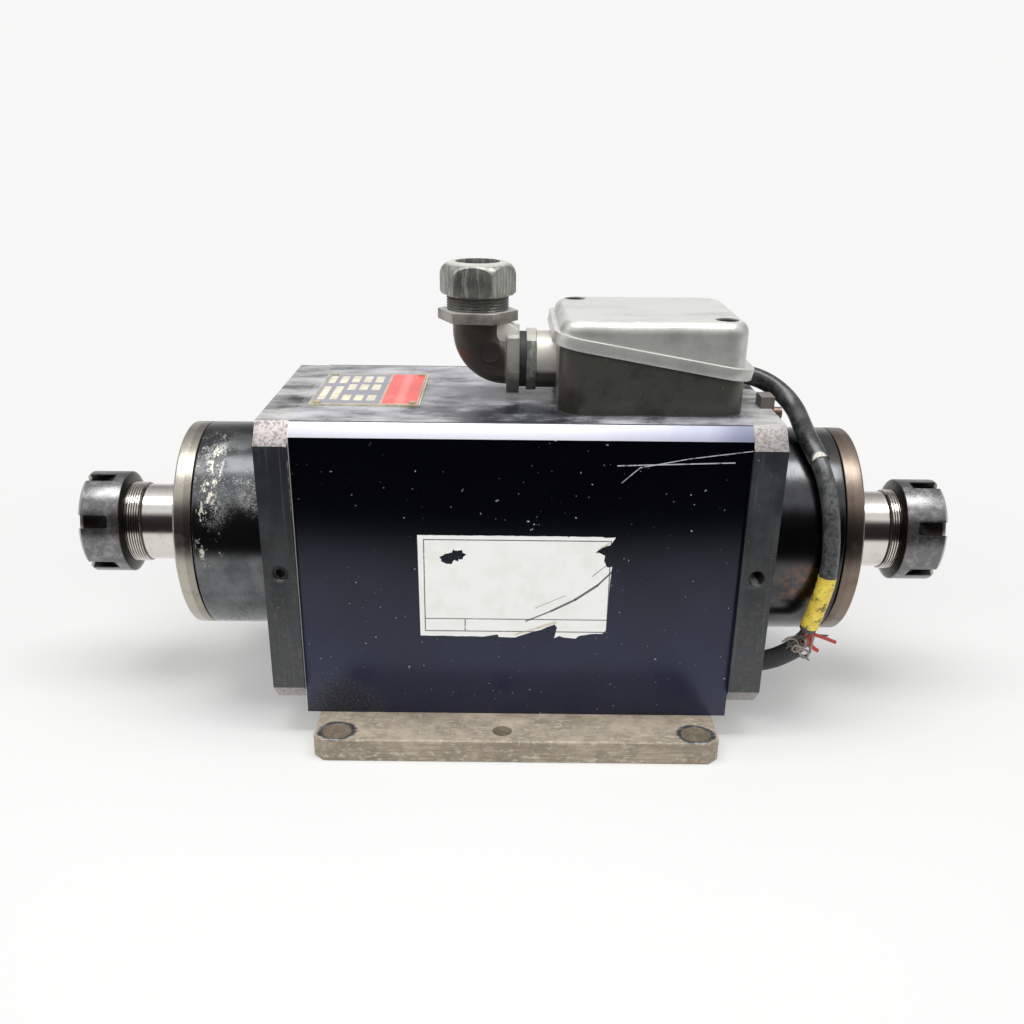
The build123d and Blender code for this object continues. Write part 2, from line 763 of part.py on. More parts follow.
def bearing_nut(side):
    """The slotted nut that holds the inner ring against the shaft's shoulder."""
    notch_floor = bearing_nut_radius - bearing_nut_notch_depth
    with BuildPart() as nut:
        turn(ring_outline(side * bearing_end, side * (bearing_end + bearing_nut_width),
                          bearing_bore / 2 + screw_gap, bearing_nut_radius))
        for direction in ((0, 1, 0), (0, -1, 0), (0, 0, 1), (0, 0, -1)):
            x = side * (bearing_end + bearing_nut_width)
            origin = (x, notch_floor * direction[1], axis_height + notch_floor * direction[2])
            with BuildSketch(Plane(origin=origin, x_dir=(1, 0, 0), z_dir=direction)) as notch:
                Rectangle(bearing_nut_width, bearing_nut_notch)
            extrude(notch.sketch, amount=bearing_nut_notch_depth * 2, mode=Mode.SUBTRACT)
    return nut


for name, side in SIDES.items():
    save(bearing_ring(side, bearing_bore / 2 + fit_gap, ball_circle - land_gap), f"{name}_bearing_inner")
    save(bearing_ring(side, ball_circle + land_gap, bearing_outside / 2), f"{name}_bearing_outer")
    save(bearing_balls(side), f"{name}_bearing_balls")
    save(bearing_cage(side), f"{name}_bearing_cage")
    save(bearing_nut(side), f"{name}_bearing_nut")

with BuildPart() as preload_spring:
    spring_outline = (
        (bearing_start - spring_space, shoulder_radius + ring_edge),
        (bearing_start - spring_space + ring_edge, shoulder_radius + ring_edge),
        (bearing_start, bearing_outside / 2 - clearance_gap - ring_edge),
        (bearing_start, bearing_outside / 2 - clearance_gap),
        (bearing_start - ring_edge, bearing_outside / 2 - clearance_gap),
        (bearing_start - spring_space, shoulder_radius + 2 * ring_edge),
    )
    turn(spring_outline)
save(preload_spring, "preload_spring")


# --- collets and collet nuts ---------------------------------------------------------
def collet(side, nose, release):
    """A double-slit spring collet with an 8 degree taper and a 30 degree front cone."""
    back = nose + release - collet_taper_length
    front = back + collet_length
    land_end = back + collet_taper_length + collet_land
    groove_end = land_end + collet_groove_length
    cone_drop = (front - groove_end - collet_land) * math.tan(math.radians(seat_angle))
    bore = collet_bore_diameter / 2
    outline = (
        (back, bore), (back, collet_radius(collet_taper_length)),
        (back + collet_taper_length, collet_radius(0)), (land_end, collet_radius(0)),
        (land_end, collet_groove_radius), (groove_end, collet_groove_radius),
        (groove_end, collet_collar_radius), (groove_end + collet_land, collet_collar_radius),
        (front, collet_collar_radius - cone_drop), (front, bore),
    )
    slit_step = 360 / collet_slits
    with BuildPart() as piece:
        turn([(side * along, radius) for along, radius in outline])
        for index in range(collet_slits):
            for start, end, offset in (
                (back + collet_web, front + collet_web, 0), (back - collet_web, front - collet_web, 0.5)
            ):
                angle = math.radians(slit_step * (index + offset))
                outward = (0, math.cos(angle), math.sin(angle))
                middle = side * (start + end) / 2
                slit = Plane(origin=(middle, 0, axis_height), x_dir=(1, 0, 0), z_dir=outward)
                with BuildSketch(slit) as cut:
                    Rectangle(end - start, collet_slit)
                extrude(cut.sketch, amount=collet_diameter, mode=Mode.SUBTRACT)
    return piece


def collet_nut(side, nose, release, slot_angle):
    """A slotted clamping nut: nose thread, cavity for the collet's collar and a cone seat."""
    front = nose + release + nut_cap
    back = front - nut_length
    outside = nut_diameter / 2
    thread = nose_thread_diameter / 2 + screw_gap
    thread_end = nose + release + nut_cavity
    collar = nose + release + collet_land + collet_groove_length + collet_land
    seat_slope = math.tan(math.radians(seat_angle))
    seat_start_radius = collet_collar_radius + ball_gap
    seat_end_radius = seat_start_radius - (front - collar) * seat_slope
    outline = (
        (back, thread), (back, nut_back_radius), (back + nut_back_chamfer, outside),
        (front - nut_front_chamfer, outside), (front, outside - nut_front_chamfer),
        (front, seat_end_radius), (collar, seat_start_radius),
        (collar, nut_cavity_radius), (thread_end, nut_cavity_radius), (thread_end, thread),
    )
    slot_outline = (
        (side * front, nut_slot_radius), (side * (front - nut_slot_flat), nut_slot_radius),
        (side * (front - nut_slot_length), outside), (side * (front - nut_slot_length), outside + ring_edge),
        (side * (front + ring_edge), outside + ring_edge), (side * (front + ring_edge), nut_slot_radius),
    )
    with BuildPart() as nut:
        turn([(side * along, radius) for along, radius in outline])
        for index in range(nut_slot_count):
            angle = math.radians(180 - slot_angle + index * 360 / nut_slot_count)
            outward = Vector(0, math.cos(angle), math.sin(angle))
            normal = Vector(1, 0, 0).cross(outward)
            with BuildSketch(Plane(origin=(0, 0, axis_height), x_dir=(1, 0, 0), z_dir=normal)) as slot:
                with BuildLine():
                    Polyline(*slot_outline, close=True)
                make_face()
            extrude(slot.sketch, amount=nut_slot_width / 2, both=True, mode=Mode.SUBTRACT)
    return nut


save(collet(LEFT, left_nose, left_release), "left_collet")
save(collet(RIGHT, right_nose, right_release), "right_collet")
save(collet_nut(LEFT, left_nose, left_release, left_slot_angle), "left_collet_nut")
save(collet_nut(RIGHT, right_nose, right_release, right_slot_angle), "right_collet_nut")

# --- terminal box --------------------------------------------------------------------
with BuildPart() as box_gasket:
    with BuildSketch(Plane.XY.offset(body_top)):
        with Locations((box_x, box_y)):
            RectangleRounded(box_length, box_width, box_corner)
        with Locations((box_passage_x, box_y)):
            Circle(box_passage_diameter / 2, mode=Mode.SUBTRACT)
        with Locations(box_screw_places):
            Circle(m5_shank + clearance_gap, mode=Mode.SUBTRACT)
    extrude(amount=gasket_thickness)
save(box_gasket, "box_gasket")

with BuildPart() as terminal_box:
    with BuildSketch(Plane.XY.offset(box_bottom)):
        with Locations((box_x, box_y)):
            RectangleRounded(box_length, box_width, box_corner)
    extrude(amount=lid_top - box_bottom)
    with BuildSketch(Plane.XY.offset(box_floor_top)):
        with Locations((box_x, box_y)):
            RectangleRounded(box_length - 2 * box_wall, box_width - 2 * box_wall, box_corner - box_wall)
        with Locations(*lid_screws_xy):
            Circle(box_column_radius, mode=Mode.SUBTRACT)
    extrude(amount=lid_top - box_floor_top, mode=Mode.SUBTRACT)
    split(bisect_by=RIM_PLANE.offset(wall_rise), keep=Keep.BOTTOM)
    boss_start = (box_left - boss_length, gland_y, gland_height)
    drill(boss_start, (1, 0, 0), boss_radius, boss_length + box_wall / 2, mode=Mode.ADD)
    drill(boss_start, (1, 0, 0), elbow_thread_radius + screw_gap, boss_length + box_wall + box_corner / 2)
    drill(lead_exit, (-1, 0, 0), lead_diameter / 2 + clearance_gap, 2 * box_wall)
    drill((box_passage_x, box_y, box_bottom), (0, 0, 1), box_passage_diameter / 2, box_floor)
    for place in box_screw_places:
        drill((place.position.X, place.position.Y, box_bottom), (0, 0, 1), m5_shank + clearance_gap,
              box_floor)
    for x, y in lid_screws_xy:
        top = level_z(x, wall_rise)
        drill((x, y, top + wall_rise), (0, 0, -1), m5_shank + screw_gap,
              lid_screw_bite + 2 * wall_rise)
save(terminal_box, "terminal_box")

with BuildPart() as box_screws:
    for place in box_screw_places:
        cap_screw((place.position.X, place.position.Y, box_floor_top), (0, 0, -1), m5_shank,
                  box_floor + gasket_thickness + box_screw_bite, m5_head, m5_head_height, m5_socket)
save(box_screws, "box_screws")

with BuildPart() as lid_gasket:
    with BuildSketch(Plane.XY.offset(box_bottom)):
        with Locations((box_x, box_y)):
            RectangleRounded(box_length, box_width, box_corner)
            RectangleRounded(
                box_length - 2 * box_wall, box_width - 2 * box_wall, box_corner - box_wall,
                mode=Mode.SUBTRACT,
            )
        with Locations(*lid_screws_xy):
            Circle(lid_column_radius, mode=Mode.SUBTRACT)
    extrude(amount=lid_top - box_bottom)
    split(bisect_by=RIM_PLANE.offset(wall_rise), keep=Keep.TOP)
    split(bisect_by=RIM_PLANE.offset(ledge_level), keep=Keep.BOTTOM)
save(lid_gasket, "lid_gasket")

with BuildPart() as lid_ledge:
    with BuildSketch(Plane.XY.offset(box_bottom)):
        with Locations((box_x, box_y)):
            RectangleRounded(box_length + 2 * lid_play, box_width + 2 * lid_play, box_corner + lid_play)
    extrude(amount=lid_top - box_bottom)
    split(bisect_by=RIM_PLANE.offset(ledge_level), keep=Keep.BOTTOM)

with BuildPart() as box_lid:
    with BuildSketch(Plane.XY.offset(box_bottom)):
        with Locations((box_x, box_y)):
            RectangleRounded(box_length, box_width, box_corner)
    extrude(amount=lid_top - box_bottom)
    fillet(box_lid.edges().group_by(Axis.Z)[-1], radius=lid_edge_round)
    with BuildSketch(Plane.XY.offset(box_bottom)):
        with Locations((box_x, box_y)):
            RectangleRounded(box_length - 2 * box_wall, box_width - 2 * box_wall, box_corner - box_wall)
        with Locations(*lid_screws_xy):
            Circle(lid_column_radius, mode=Mode.SUBTRACT)
    extrude(amount=lid_top - box_wall - box_bottom, mode=Mode.SUBTRACT)
    split(bisect_by=RIM_PLANE, keep=Keep.TOP)
    with BuildSketch(RIM_PLANE):
        RectangleRounded(
            (box_length + 2 * rim_overhang) / math.cos(rim_slope), box_width + 2 * rim_overhang,
            box_corner + rim_overhang,
        )
        RectangleRounded(
            (box_length - 2 * box_wall) / math.cos(rim_slope), box_width - 2 * box_wall,
            box_corner - box_wall, mode=Mode.SUBTRACT,
        )
    extrude(amount=rim_thickness)
    add(lid_ledge.part, mode=Mode.SUBTRACT)
    for x, y in lid_screws_xy:
        seat = level_z(x, ledge_level) + lid_screw_grip
        drill((x, y, lid_top), (0, 0, -1), lid_recess_radius, lid_top - seat)
        drill((x, y, lid_top), (0, 0, -1), m5_shank + clearance_gap, lid_top - rim_height + box_length)
save(box_lid, "box_lid")

with BuildPart() as lid_screws:
    for x, y in lid_screws_xy:
        seat = level_z(x, ledge_level) + lid_screw_grip
        reach = lid_screw_grip + lid_gasket_thickness + lid_screw_bite
        cap_screw((x, y, seat), (0, 0, -1), m5_shank, reach, m5_head, m5_head_height, m5_socket)
save(lid_screws, "lid_screws")

board_bottom = box_floor_top + board_foot
board_top = board_bottom + board_thickness
with BuildPart() as terminal_board:
    with BuildSketch(Plane.XY.offset(board_bottom)):
        with Locations((board_x, box_y)):
            Rectangle(board_length, board_width)
    extrude(amount=board_thickness)
    fillet(terminal_board.edges().filter_by(Axis.Z), radius=board_foot / 2)
    with BuildSketch(Plane.XY.offset(box_floor_top)):
        with Locations((board_x, box_y)):
            with GridLocations(board_length - 2 * board_foot, 0, 2, 1):
                Rectangle(board_foot, board_width - board_foot)
    extrude(amount=board_foot)
    with Locations((board_x, box_y)):
        stud_places = GridLocations(stud_spacing_x, stud_spacing_y, 3, 2).locations
    for place in stud_places:
        drill((place.position.X, place.position.Y, board_top), (0, 0, -1), stud_radius + fit_gap,
              board_thickness)
save(terminal_board, "terminal_board")

with BuildPart() as terminal_studs:
    for place in stud_places:
        spot = (place.position.X, place.position.Y)
        drill((*spot, board_bottom), (0, 0, 1), stud_radius, stud_height, mode=Mode.ADD)
        with BuildSketch(Plane.XY.offset(board_top)) as stud_nut:
            with Locations(spot):
                RegularPolygon(stud_nut_radius, 6)
        extrude(stud_nut.sketch, amount=stud_nut_height, mode=Mode.ADD)
save(terminal_studs, "terminal_studs")

# --- angled cable gland --------------------------------------------------------------
with BuildPart() as gland_elbow:
    with BuildLine(Plane(origin=(0, gland_y, 0), x_dir=(1, 0, 0), z_dir=(0, -1, 0))) as elbow_path:
        Line((gland_x, seal_seat_bottom), (gland_x, gland_height + elbow_bend))
        CenterArc((gland_x + elbow_bend, gland_height + elbow_bend), elbow_bend, 180, 90)
        Line((gland_x + elbow_bend, gland_height), (collar_start + collar_length, gland_height))
    elbow_start = Plane(origin=(gland_x, gland_y, seal_seat_bottom), z_dir=(0, 0, -1))
    with BuildSketch(elbow_start):
        Circle(elbow_radius)
    sweep(path=elbow_path.line)
    with BuildSketch(Plane.XY.offset(flange_bottom)):
        with Locations((gland_x, gland_y)):
            RegularPolygon(flange_across / 2, 6, rotation=hex_turn)
    extrude(amount=flange_thickness)
    drill((gland_x, gland_y, flange_bottom), (0, 0, 1), gland_thread_radius,
          gland_thread_top - flange_bottom, mode=Mode.ADD)
    with BuildSketch(Plane.YZ.offset(collar_start)):
        with Locations((gland_y, gland_height)):
            RegularPolygon(collar_across / 2, 6, rotation=collar_turn)
    extrude(amount=collar_length)
    drill((collar_start, gland_y, gland_height), (1, 0, 0), elbow_thread_radius,
          elbow_thread_end - collar_start, mode=Mode.ADD)
    with BuildSketch(elbow_start) as elbow_bore:
        Circle(elbow_bore_radius)
    sweep(elbow_bore.sketch, path=elbow_path.line, mode=Mode.SUBTRACT)
    drill((gland_x, gland_y, seal_seat_bottom), (0, 0, 1), seal_seat_radius,
          gland_thread_top - seal_seat_bottom)
    drill((collar_start, gland_y, gland_height), (1, 0, 0), elbow_bore_radius,
          elbow_thread_end - collar_start)
save(gland_elbow, "gland_elbow")

washer_start = collar_start + collar_length
with BuildPart() as elbow_washer:
    drill((washer_start, gland_y, gland_height), (1, 0, 0), washer_radius, washer_length, mode=Mode.ADD)
    drill((washer_start, gland_y, gland_height), (1, 0, 0), elbow_thread_radius + screw_gap, washer_length)
save(elbow_washer, "elbow_washer")

locknut_start = washer_start + washer_length
with BuildPart() as elbow_locknut:
    with BuildSketch(Plane.YZ.offset(locknut_start)):
        with Locations((gland_y, gland_height)):
            RegularPolygon(locknut_across / 2, 6, rotation=collar_turn)
            Circle(elbow_thread_radius + screw_gap, mode=Mode.SUBTRACT)
    extrude(amount=box_left - boss_length - locknut_start)
save(elbow_locknut, "elbow_locknut")

with BuildPart() as gland_seal:
    turn(
        (
            (gland_seal_bore_radius, seal_seat_bottom), (seal_seat_radius - fit_gap, seal_seat_bottom),
            (seal_seat_radius - fit_gap, gland_thread_top + gland_seal_proud),
            (gland_seal_bore_radius, gland_thread_top + gland_seal_proud),
        ),
        axis=GLAND_AXIS, plane=GLAND_PLANE,
    )
save(gland_seal, "gland_seal")

thrust_ring_top = thrust_ring_bottom + thrust_ring_thickness
with BuildPart() as gland_thrust_ring:
    turn(
        (
            (gland_nut_opening, thrust_ring_bottom),
            (gland_thread_radius - clearance_gap, thrust_ring_bottom),
            (gland_thread_radius - clearance_gap, thrust_ring_top),
            (gland_nut_opening, thrust_ring_top),
        ),
        axis=GLAND_AXIS, plane=GLAND_PLANE,
    )
save(gland_thrust_ring, "gland_thrust_ring")

gland_nut_top = gland_nut_bottom + gland_nut_height
with BuildPart() as gland_nut:
    with BuildSketch(Plane.XY.offset(gland_nut_bottom)):
        with Locations((gland_x, gland_y)):
            RegularPolygon(gland_nut_across / 2, 6, rotation=hex_turn)
    extrude(amount=gland_nut_height)
    with BuildSketch(GLAND_PLANE) as crown:
        with BuildLine():
            Polyline(
                (0, gland_nut_top), (0, gland_nut_bottom),
                (gland_nut_across / 2 - gland_nut_edge, gland_nut_bottom),
                (gland_nut_across / 2, gland_nut_bottom + gland_nut_edge),
                (gland_nut_across / 2, gland_nut_top - gland_nut_crown),
            )
            RadiusArc(
                (gland_nut_across / 2, gland_nut_top - gland_nut_crown),
                (gland_nut_across / 2 - gland_nut_crown, gland_nut_top), -gland_nut_crown,
            )
            Line((gland_nut_across / 2 - gland_nut_crown, gland_nut_top), (0, gland_nut_top))
        make_face()
    revolve(crown.sketch, axis=GLAND_AXIS, mode=Mode.INTERSECT)
    drill((gland_x, gland_y, gland_nut_bottom), (0, 0, 1), gland_nut_opening, gland_nut_height)
    drill((gland_x, gland_y, gland_nut_bottom), (0, 0, 1), gland_thread_radius + screw_gap,
          thrust_ring_top + stack_gap - gland_nut_bottom)
save(gland_nut, "gland_nut")

# --- rating plate --------------------------------------------------------------------
with BuildPart() as rating_plate:
    with BuildSketch(Plane.XY.offset(body_top)):
        with Locations((rating_x, rating_y)):
            RectangleRounded(rating_length, rating_width, rating_corner)
        with Locations(pin_places):
            Circle(pin_radius + screw_gap, mode=Mode.SUBTRACT)
    extrude(amount=rating_thickness)
save(rating_plate, "rating_plate")

with BuildPart() as rating_pins:
    for place in pin_places:
        x, y = place.position.X, place.position.Y
        plate_top = body_top + rating_thickness
        drill((x, y, plate_top), (0, 0, -1), pin_radius, rating_thickness + pin_depth, mode=Mode.ADD)
        drill((x, y, plate_top), (0, 0, 1), pin_head_radius, pin_head_height, mode=Mode.ADD)
save(rating_pins, "rating_pins")

# --- leads, their exits and the clip -------------------------------------------------
save(lead(lead_route, lead_diameter), "sensor_lead")
save(lead(braid_route, braid_diameter), "braided_lead")

lead_end, braid_end = Vector(*lead_route[-1]), Vector(*braid_route[-1])
lead_way = (lead_end - Vector(*lead_route[-2])).normalized()
braid_way = (braid_end - Vector(*braid_route[-2])).normalized()
fray_way = (braid_end - lead_end).normalized()
with BuildPart() as wire_fray:
    drill(tuple(lead_end - fray_way * fray_overlap), tuple(fray_way), fray_radius,
          (braid_end - lead_end).length + 2 * fray_overlap, mode=Mode.ADD)
    split(bisect_by=Plane(origin=lead_end, z_dir=lead_way), keep=Keep.TOP)
    split(bisect_by=Plane(origin=braid_end, z_dir=braid_way), keep=Keep.TOP)
save(wire_fray, "wire_fray")

with BuildPart() as lead_gland:
    drill(lead_exit, (1, 0, 0), lead_gland_radius, lead_gland_collar, mode=Mode.ADD)
    with BuildSketch(Plane(origin=lead_exit, z_dir=(1, 0, 0))):
        RegularPolygon(lead_gland_radius, 6)
    extrude(amount=lead_gland_length)
    drill(lead_exit, (1, 0, 0), lead_diameter / 2 + fit_gap, lead_gland_length)
save(lead_gland, "lead_gland")

with BuildPart() as braid_grommet:
    drill(braid_exit, (1, 0, 0), grommet_radius, grommet_flange, mode=Mode.ADD)
    fillet(braid_grommet.edges().group_by(Axis.X)[-1], radius=grommet_flange / 2)
    drill(braid_exit, (-1, 0, 0), grommet_neck_radius, grommet_depth, mode=Mode.ADD)
    drill((plate_outer + grommet_flange, *braid_exit[1:]), (-1, 0, 0), braid_diameter / 2 + fit_gap,
          grommet_flange + grommet_depth)
save(braid_grommet, "braid_grommet")

with BuildPart() as cable_clip:
    with BuildSketch(Plane.XY.offset(body_top)):
        with Locations((plate_outer - clip_length / 2, clip_y)):
            Rectangle(clip_length, clip_width)
    extrude(amount=clip_height)
    with BuildSketch(Plane.XY.offset(body_top - clip_leg_drop)):
        with Locations((plate_outer + clip_leg / 2, clip_y)):
            Rectangle(clip_leg, clip_width)
    extrude(amount=clip_leg_drop + clip_height)
    drill((plate_outer, clip_y, body_top - clip_screw_drop), (1, 0, 0), clip_screw_radius + screw_gap,
          clip_leg)
save(cable_clip, "cable_clip")

with BuildPart() as clip_screw:
    clip_seat = (plate_outer + clip_leg, clip_y, body_top - clip_screw_drop)
    drill(clip_seat, (-1, 0, 0), clip_screw_radius, clip_leg + clip_screw_bite - clearance_gap,
          mode=Mode.ADD)
    drill(clip_seat, (1, 0, 0), clip_head_radius, clip_head_length, mode=Mode.ADD)
save(clip_screw, "clip_screw")
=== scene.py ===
"""Finishes, fittings and studio of a double-ended milling motor spindle."""

import json
import logging
import math
import random
from dataclasses import dataclass, field
from enum import Enum
from functools import reduce

import bpy
from mathutils import Euler, Matrix, Vector
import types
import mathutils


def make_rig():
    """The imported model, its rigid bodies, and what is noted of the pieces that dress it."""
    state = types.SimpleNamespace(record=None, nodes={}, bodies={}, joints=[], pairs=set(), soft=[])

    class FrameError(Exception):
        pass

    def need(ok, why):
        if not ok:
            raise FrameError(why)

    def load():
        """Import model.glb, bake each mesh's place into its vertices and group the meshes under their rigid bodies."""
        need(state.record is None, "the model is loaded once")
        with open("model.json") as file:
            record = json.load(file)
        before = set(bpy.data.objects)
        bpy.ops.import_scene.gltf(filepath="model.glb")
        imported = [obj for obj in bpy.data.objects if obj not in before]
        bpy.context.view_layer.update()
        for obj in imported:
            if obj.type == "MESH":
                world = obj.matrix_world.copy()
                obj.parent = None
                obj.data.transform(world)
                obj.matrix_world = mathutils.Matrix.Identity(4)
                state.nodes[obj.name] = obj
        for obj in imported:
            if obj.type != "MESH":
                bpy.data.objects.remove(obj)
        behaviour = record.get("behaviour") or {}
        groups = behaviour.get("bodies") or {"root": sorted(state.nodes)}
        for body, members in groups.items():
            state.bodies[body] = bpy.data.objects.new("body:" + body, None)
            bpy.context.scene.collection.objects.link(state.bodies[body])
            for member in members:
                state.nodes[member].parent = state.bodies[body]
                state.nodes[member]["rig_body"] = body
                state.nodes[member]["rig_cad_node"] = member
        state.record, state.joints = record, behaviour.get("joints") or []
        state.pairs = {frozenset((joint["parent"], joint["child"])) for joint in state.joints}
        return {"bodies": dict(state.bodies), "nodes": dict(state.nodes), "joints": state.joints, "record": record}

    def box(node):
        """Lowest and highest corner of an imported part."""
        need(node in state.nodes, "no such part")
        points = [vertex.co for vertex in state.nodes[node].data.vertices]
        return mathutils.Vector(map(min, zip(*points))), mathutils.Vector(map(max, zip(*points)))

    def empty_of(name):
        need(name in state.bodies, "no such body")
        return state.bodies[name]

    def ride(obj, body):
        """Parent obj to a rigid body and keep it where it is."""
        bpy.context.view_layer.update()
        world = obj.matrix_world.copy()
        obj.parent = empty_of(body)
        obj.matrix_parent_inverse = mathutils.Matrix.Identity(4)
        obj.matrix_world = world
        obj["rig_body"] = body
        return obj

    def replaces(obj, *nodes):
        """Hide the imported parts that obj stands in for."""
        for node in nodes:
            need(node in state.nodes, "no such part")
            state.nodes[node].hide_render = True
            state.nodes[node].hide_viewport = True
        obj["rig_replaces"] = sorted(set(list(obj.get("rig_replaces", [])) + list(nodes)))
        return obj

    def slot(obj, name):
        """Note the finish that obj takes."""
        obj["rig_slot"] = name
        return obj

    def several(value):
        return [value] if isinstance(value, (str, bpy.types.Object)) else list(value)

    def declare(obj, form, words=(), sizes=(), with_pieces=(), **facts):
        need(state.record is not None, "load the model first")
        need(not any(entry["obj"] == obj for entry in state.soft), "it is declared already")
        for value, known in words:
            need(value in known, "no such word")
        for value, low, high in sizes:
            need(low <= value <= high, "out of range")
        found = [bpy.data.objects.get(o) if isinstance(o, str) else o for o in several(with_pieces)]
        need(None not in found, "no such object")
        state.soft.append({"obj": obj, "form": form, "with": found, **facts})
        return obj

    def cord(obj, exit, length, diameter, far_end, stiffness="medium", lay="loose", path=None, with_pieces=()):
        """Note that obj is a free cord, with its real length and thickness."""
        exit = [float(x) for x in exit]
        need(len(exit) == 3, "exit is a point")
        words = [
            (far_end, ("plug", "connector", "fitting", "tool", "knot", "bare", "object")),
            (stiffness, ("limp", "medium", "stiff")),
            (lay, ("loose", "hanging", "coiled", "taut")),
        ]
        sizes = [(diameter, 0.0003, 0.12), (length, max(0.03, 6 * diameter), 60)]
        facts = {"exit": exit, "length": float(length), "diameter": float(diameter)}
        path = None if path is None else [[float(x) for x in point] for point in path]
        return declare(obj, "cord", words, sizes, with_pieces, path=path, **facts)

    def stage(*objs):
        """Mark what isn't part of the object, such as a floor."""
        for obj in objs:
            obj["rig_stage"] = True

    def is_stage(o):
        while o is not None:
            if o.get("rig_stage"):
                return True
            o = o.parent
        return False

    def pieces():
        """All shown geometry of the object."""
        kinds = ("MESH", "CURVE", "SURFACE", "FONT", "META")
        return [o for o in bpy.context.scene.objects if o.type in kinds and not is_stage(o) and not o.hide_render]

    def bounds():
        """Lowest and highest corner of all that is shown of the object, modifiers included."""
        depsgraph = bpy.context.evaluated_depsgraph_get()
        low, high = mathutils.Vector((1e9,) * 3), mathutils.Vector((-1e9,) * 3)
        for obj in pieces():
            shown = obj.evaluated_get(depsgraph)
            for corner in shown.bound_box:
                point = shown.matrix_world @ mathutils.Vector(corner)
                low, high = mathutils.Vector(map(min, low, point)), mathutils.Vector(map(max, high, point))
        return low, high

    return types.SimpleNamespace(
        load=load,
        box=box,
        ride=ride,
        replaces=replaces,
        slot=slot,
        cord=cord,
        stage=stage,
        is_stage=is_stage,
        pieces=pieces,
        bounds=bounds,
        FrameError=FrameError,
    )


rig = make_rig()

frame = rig.load()
CAD_BOX = [list(corner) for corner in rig.bounds()]
LOG = logging.getLogger("spindle")

MM = 0.001
IN_MM = 1000
AXIS_Z = 105 * MM
FAR_OFF = 9999  # millimetres, well outside the part
MERGE = 1e-6  # metres, within which corners are one
FLAT = 0.6  # degrees, within which faces are one
Point = tuple[float, float, float]
Colour = tuple[float, float, float]
Span = tuple[float, float]
Area = tuple[Span, Span, float]
Line = tuple[Span, Span, float]


def mm(x: float, y: float, z: float) -> Point:
    """Return a point given in millimetres, in metres."""
    return (x * MM, y * MM, z * MM)


def toned(colour: Colour, share: float) -> Colour:
    """Return a colour made darker or brighter by a share."""
    return tuple(part * share for part in colour)


def middle_and_half(node: str) -> tuple[Point, Point]:
    """Return the middle and the half sizes of a node's box, in millimetres."""
    low, high = (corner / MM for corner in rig.box(node))
    return tuple((low + high) / 2), tuple((high - low) / 2)


# --- shader arithmetic ---------------------------------------------------------------
class Value:
    """One shader socket that takes part in Python arithmetic."""

    def __init__(self, graph: "Wiring", socket: bpy.types.NodeSocket) -> None:
        """Wrap a socket of a graph."""
        self.graph = graph
        self.socket = socket

    def __add__(self, other: "Value | float") -> "Value":
        """Return the sum."""
        return self.graph.math("ADD", self, other)

    def __radd__(self, other: float) -> "Value":
        """Return the sum, with the number first."""
        return self.graph.math("ADD", other, self)

    def __sub__(self, other: "Value | float") -> "Value":
        """Return the difference."""
        return self.graph.math("SUBTRACT", self, other)

    def __rsub__(self, other: float) -> "Value":
        """Return the difference, with the number first."""
        return self.graph.math("SUBTRACT", other, self)

    def __mul__(self, other: "Value | float") -> "Value":
        """Return the product."""
        return self.graph.math("MULTIPLY", self, other)

    def __rmul__(self, other: float) -> "Value":
        """Return the product, with the number first."""
        return self.graph.math("MULTIPLY", other, self)

    def __truediv__(self, other: "Value | float") -> "Value":
        """Return the quotient."""
        return self.graph.math("DIVIDE", self, other)


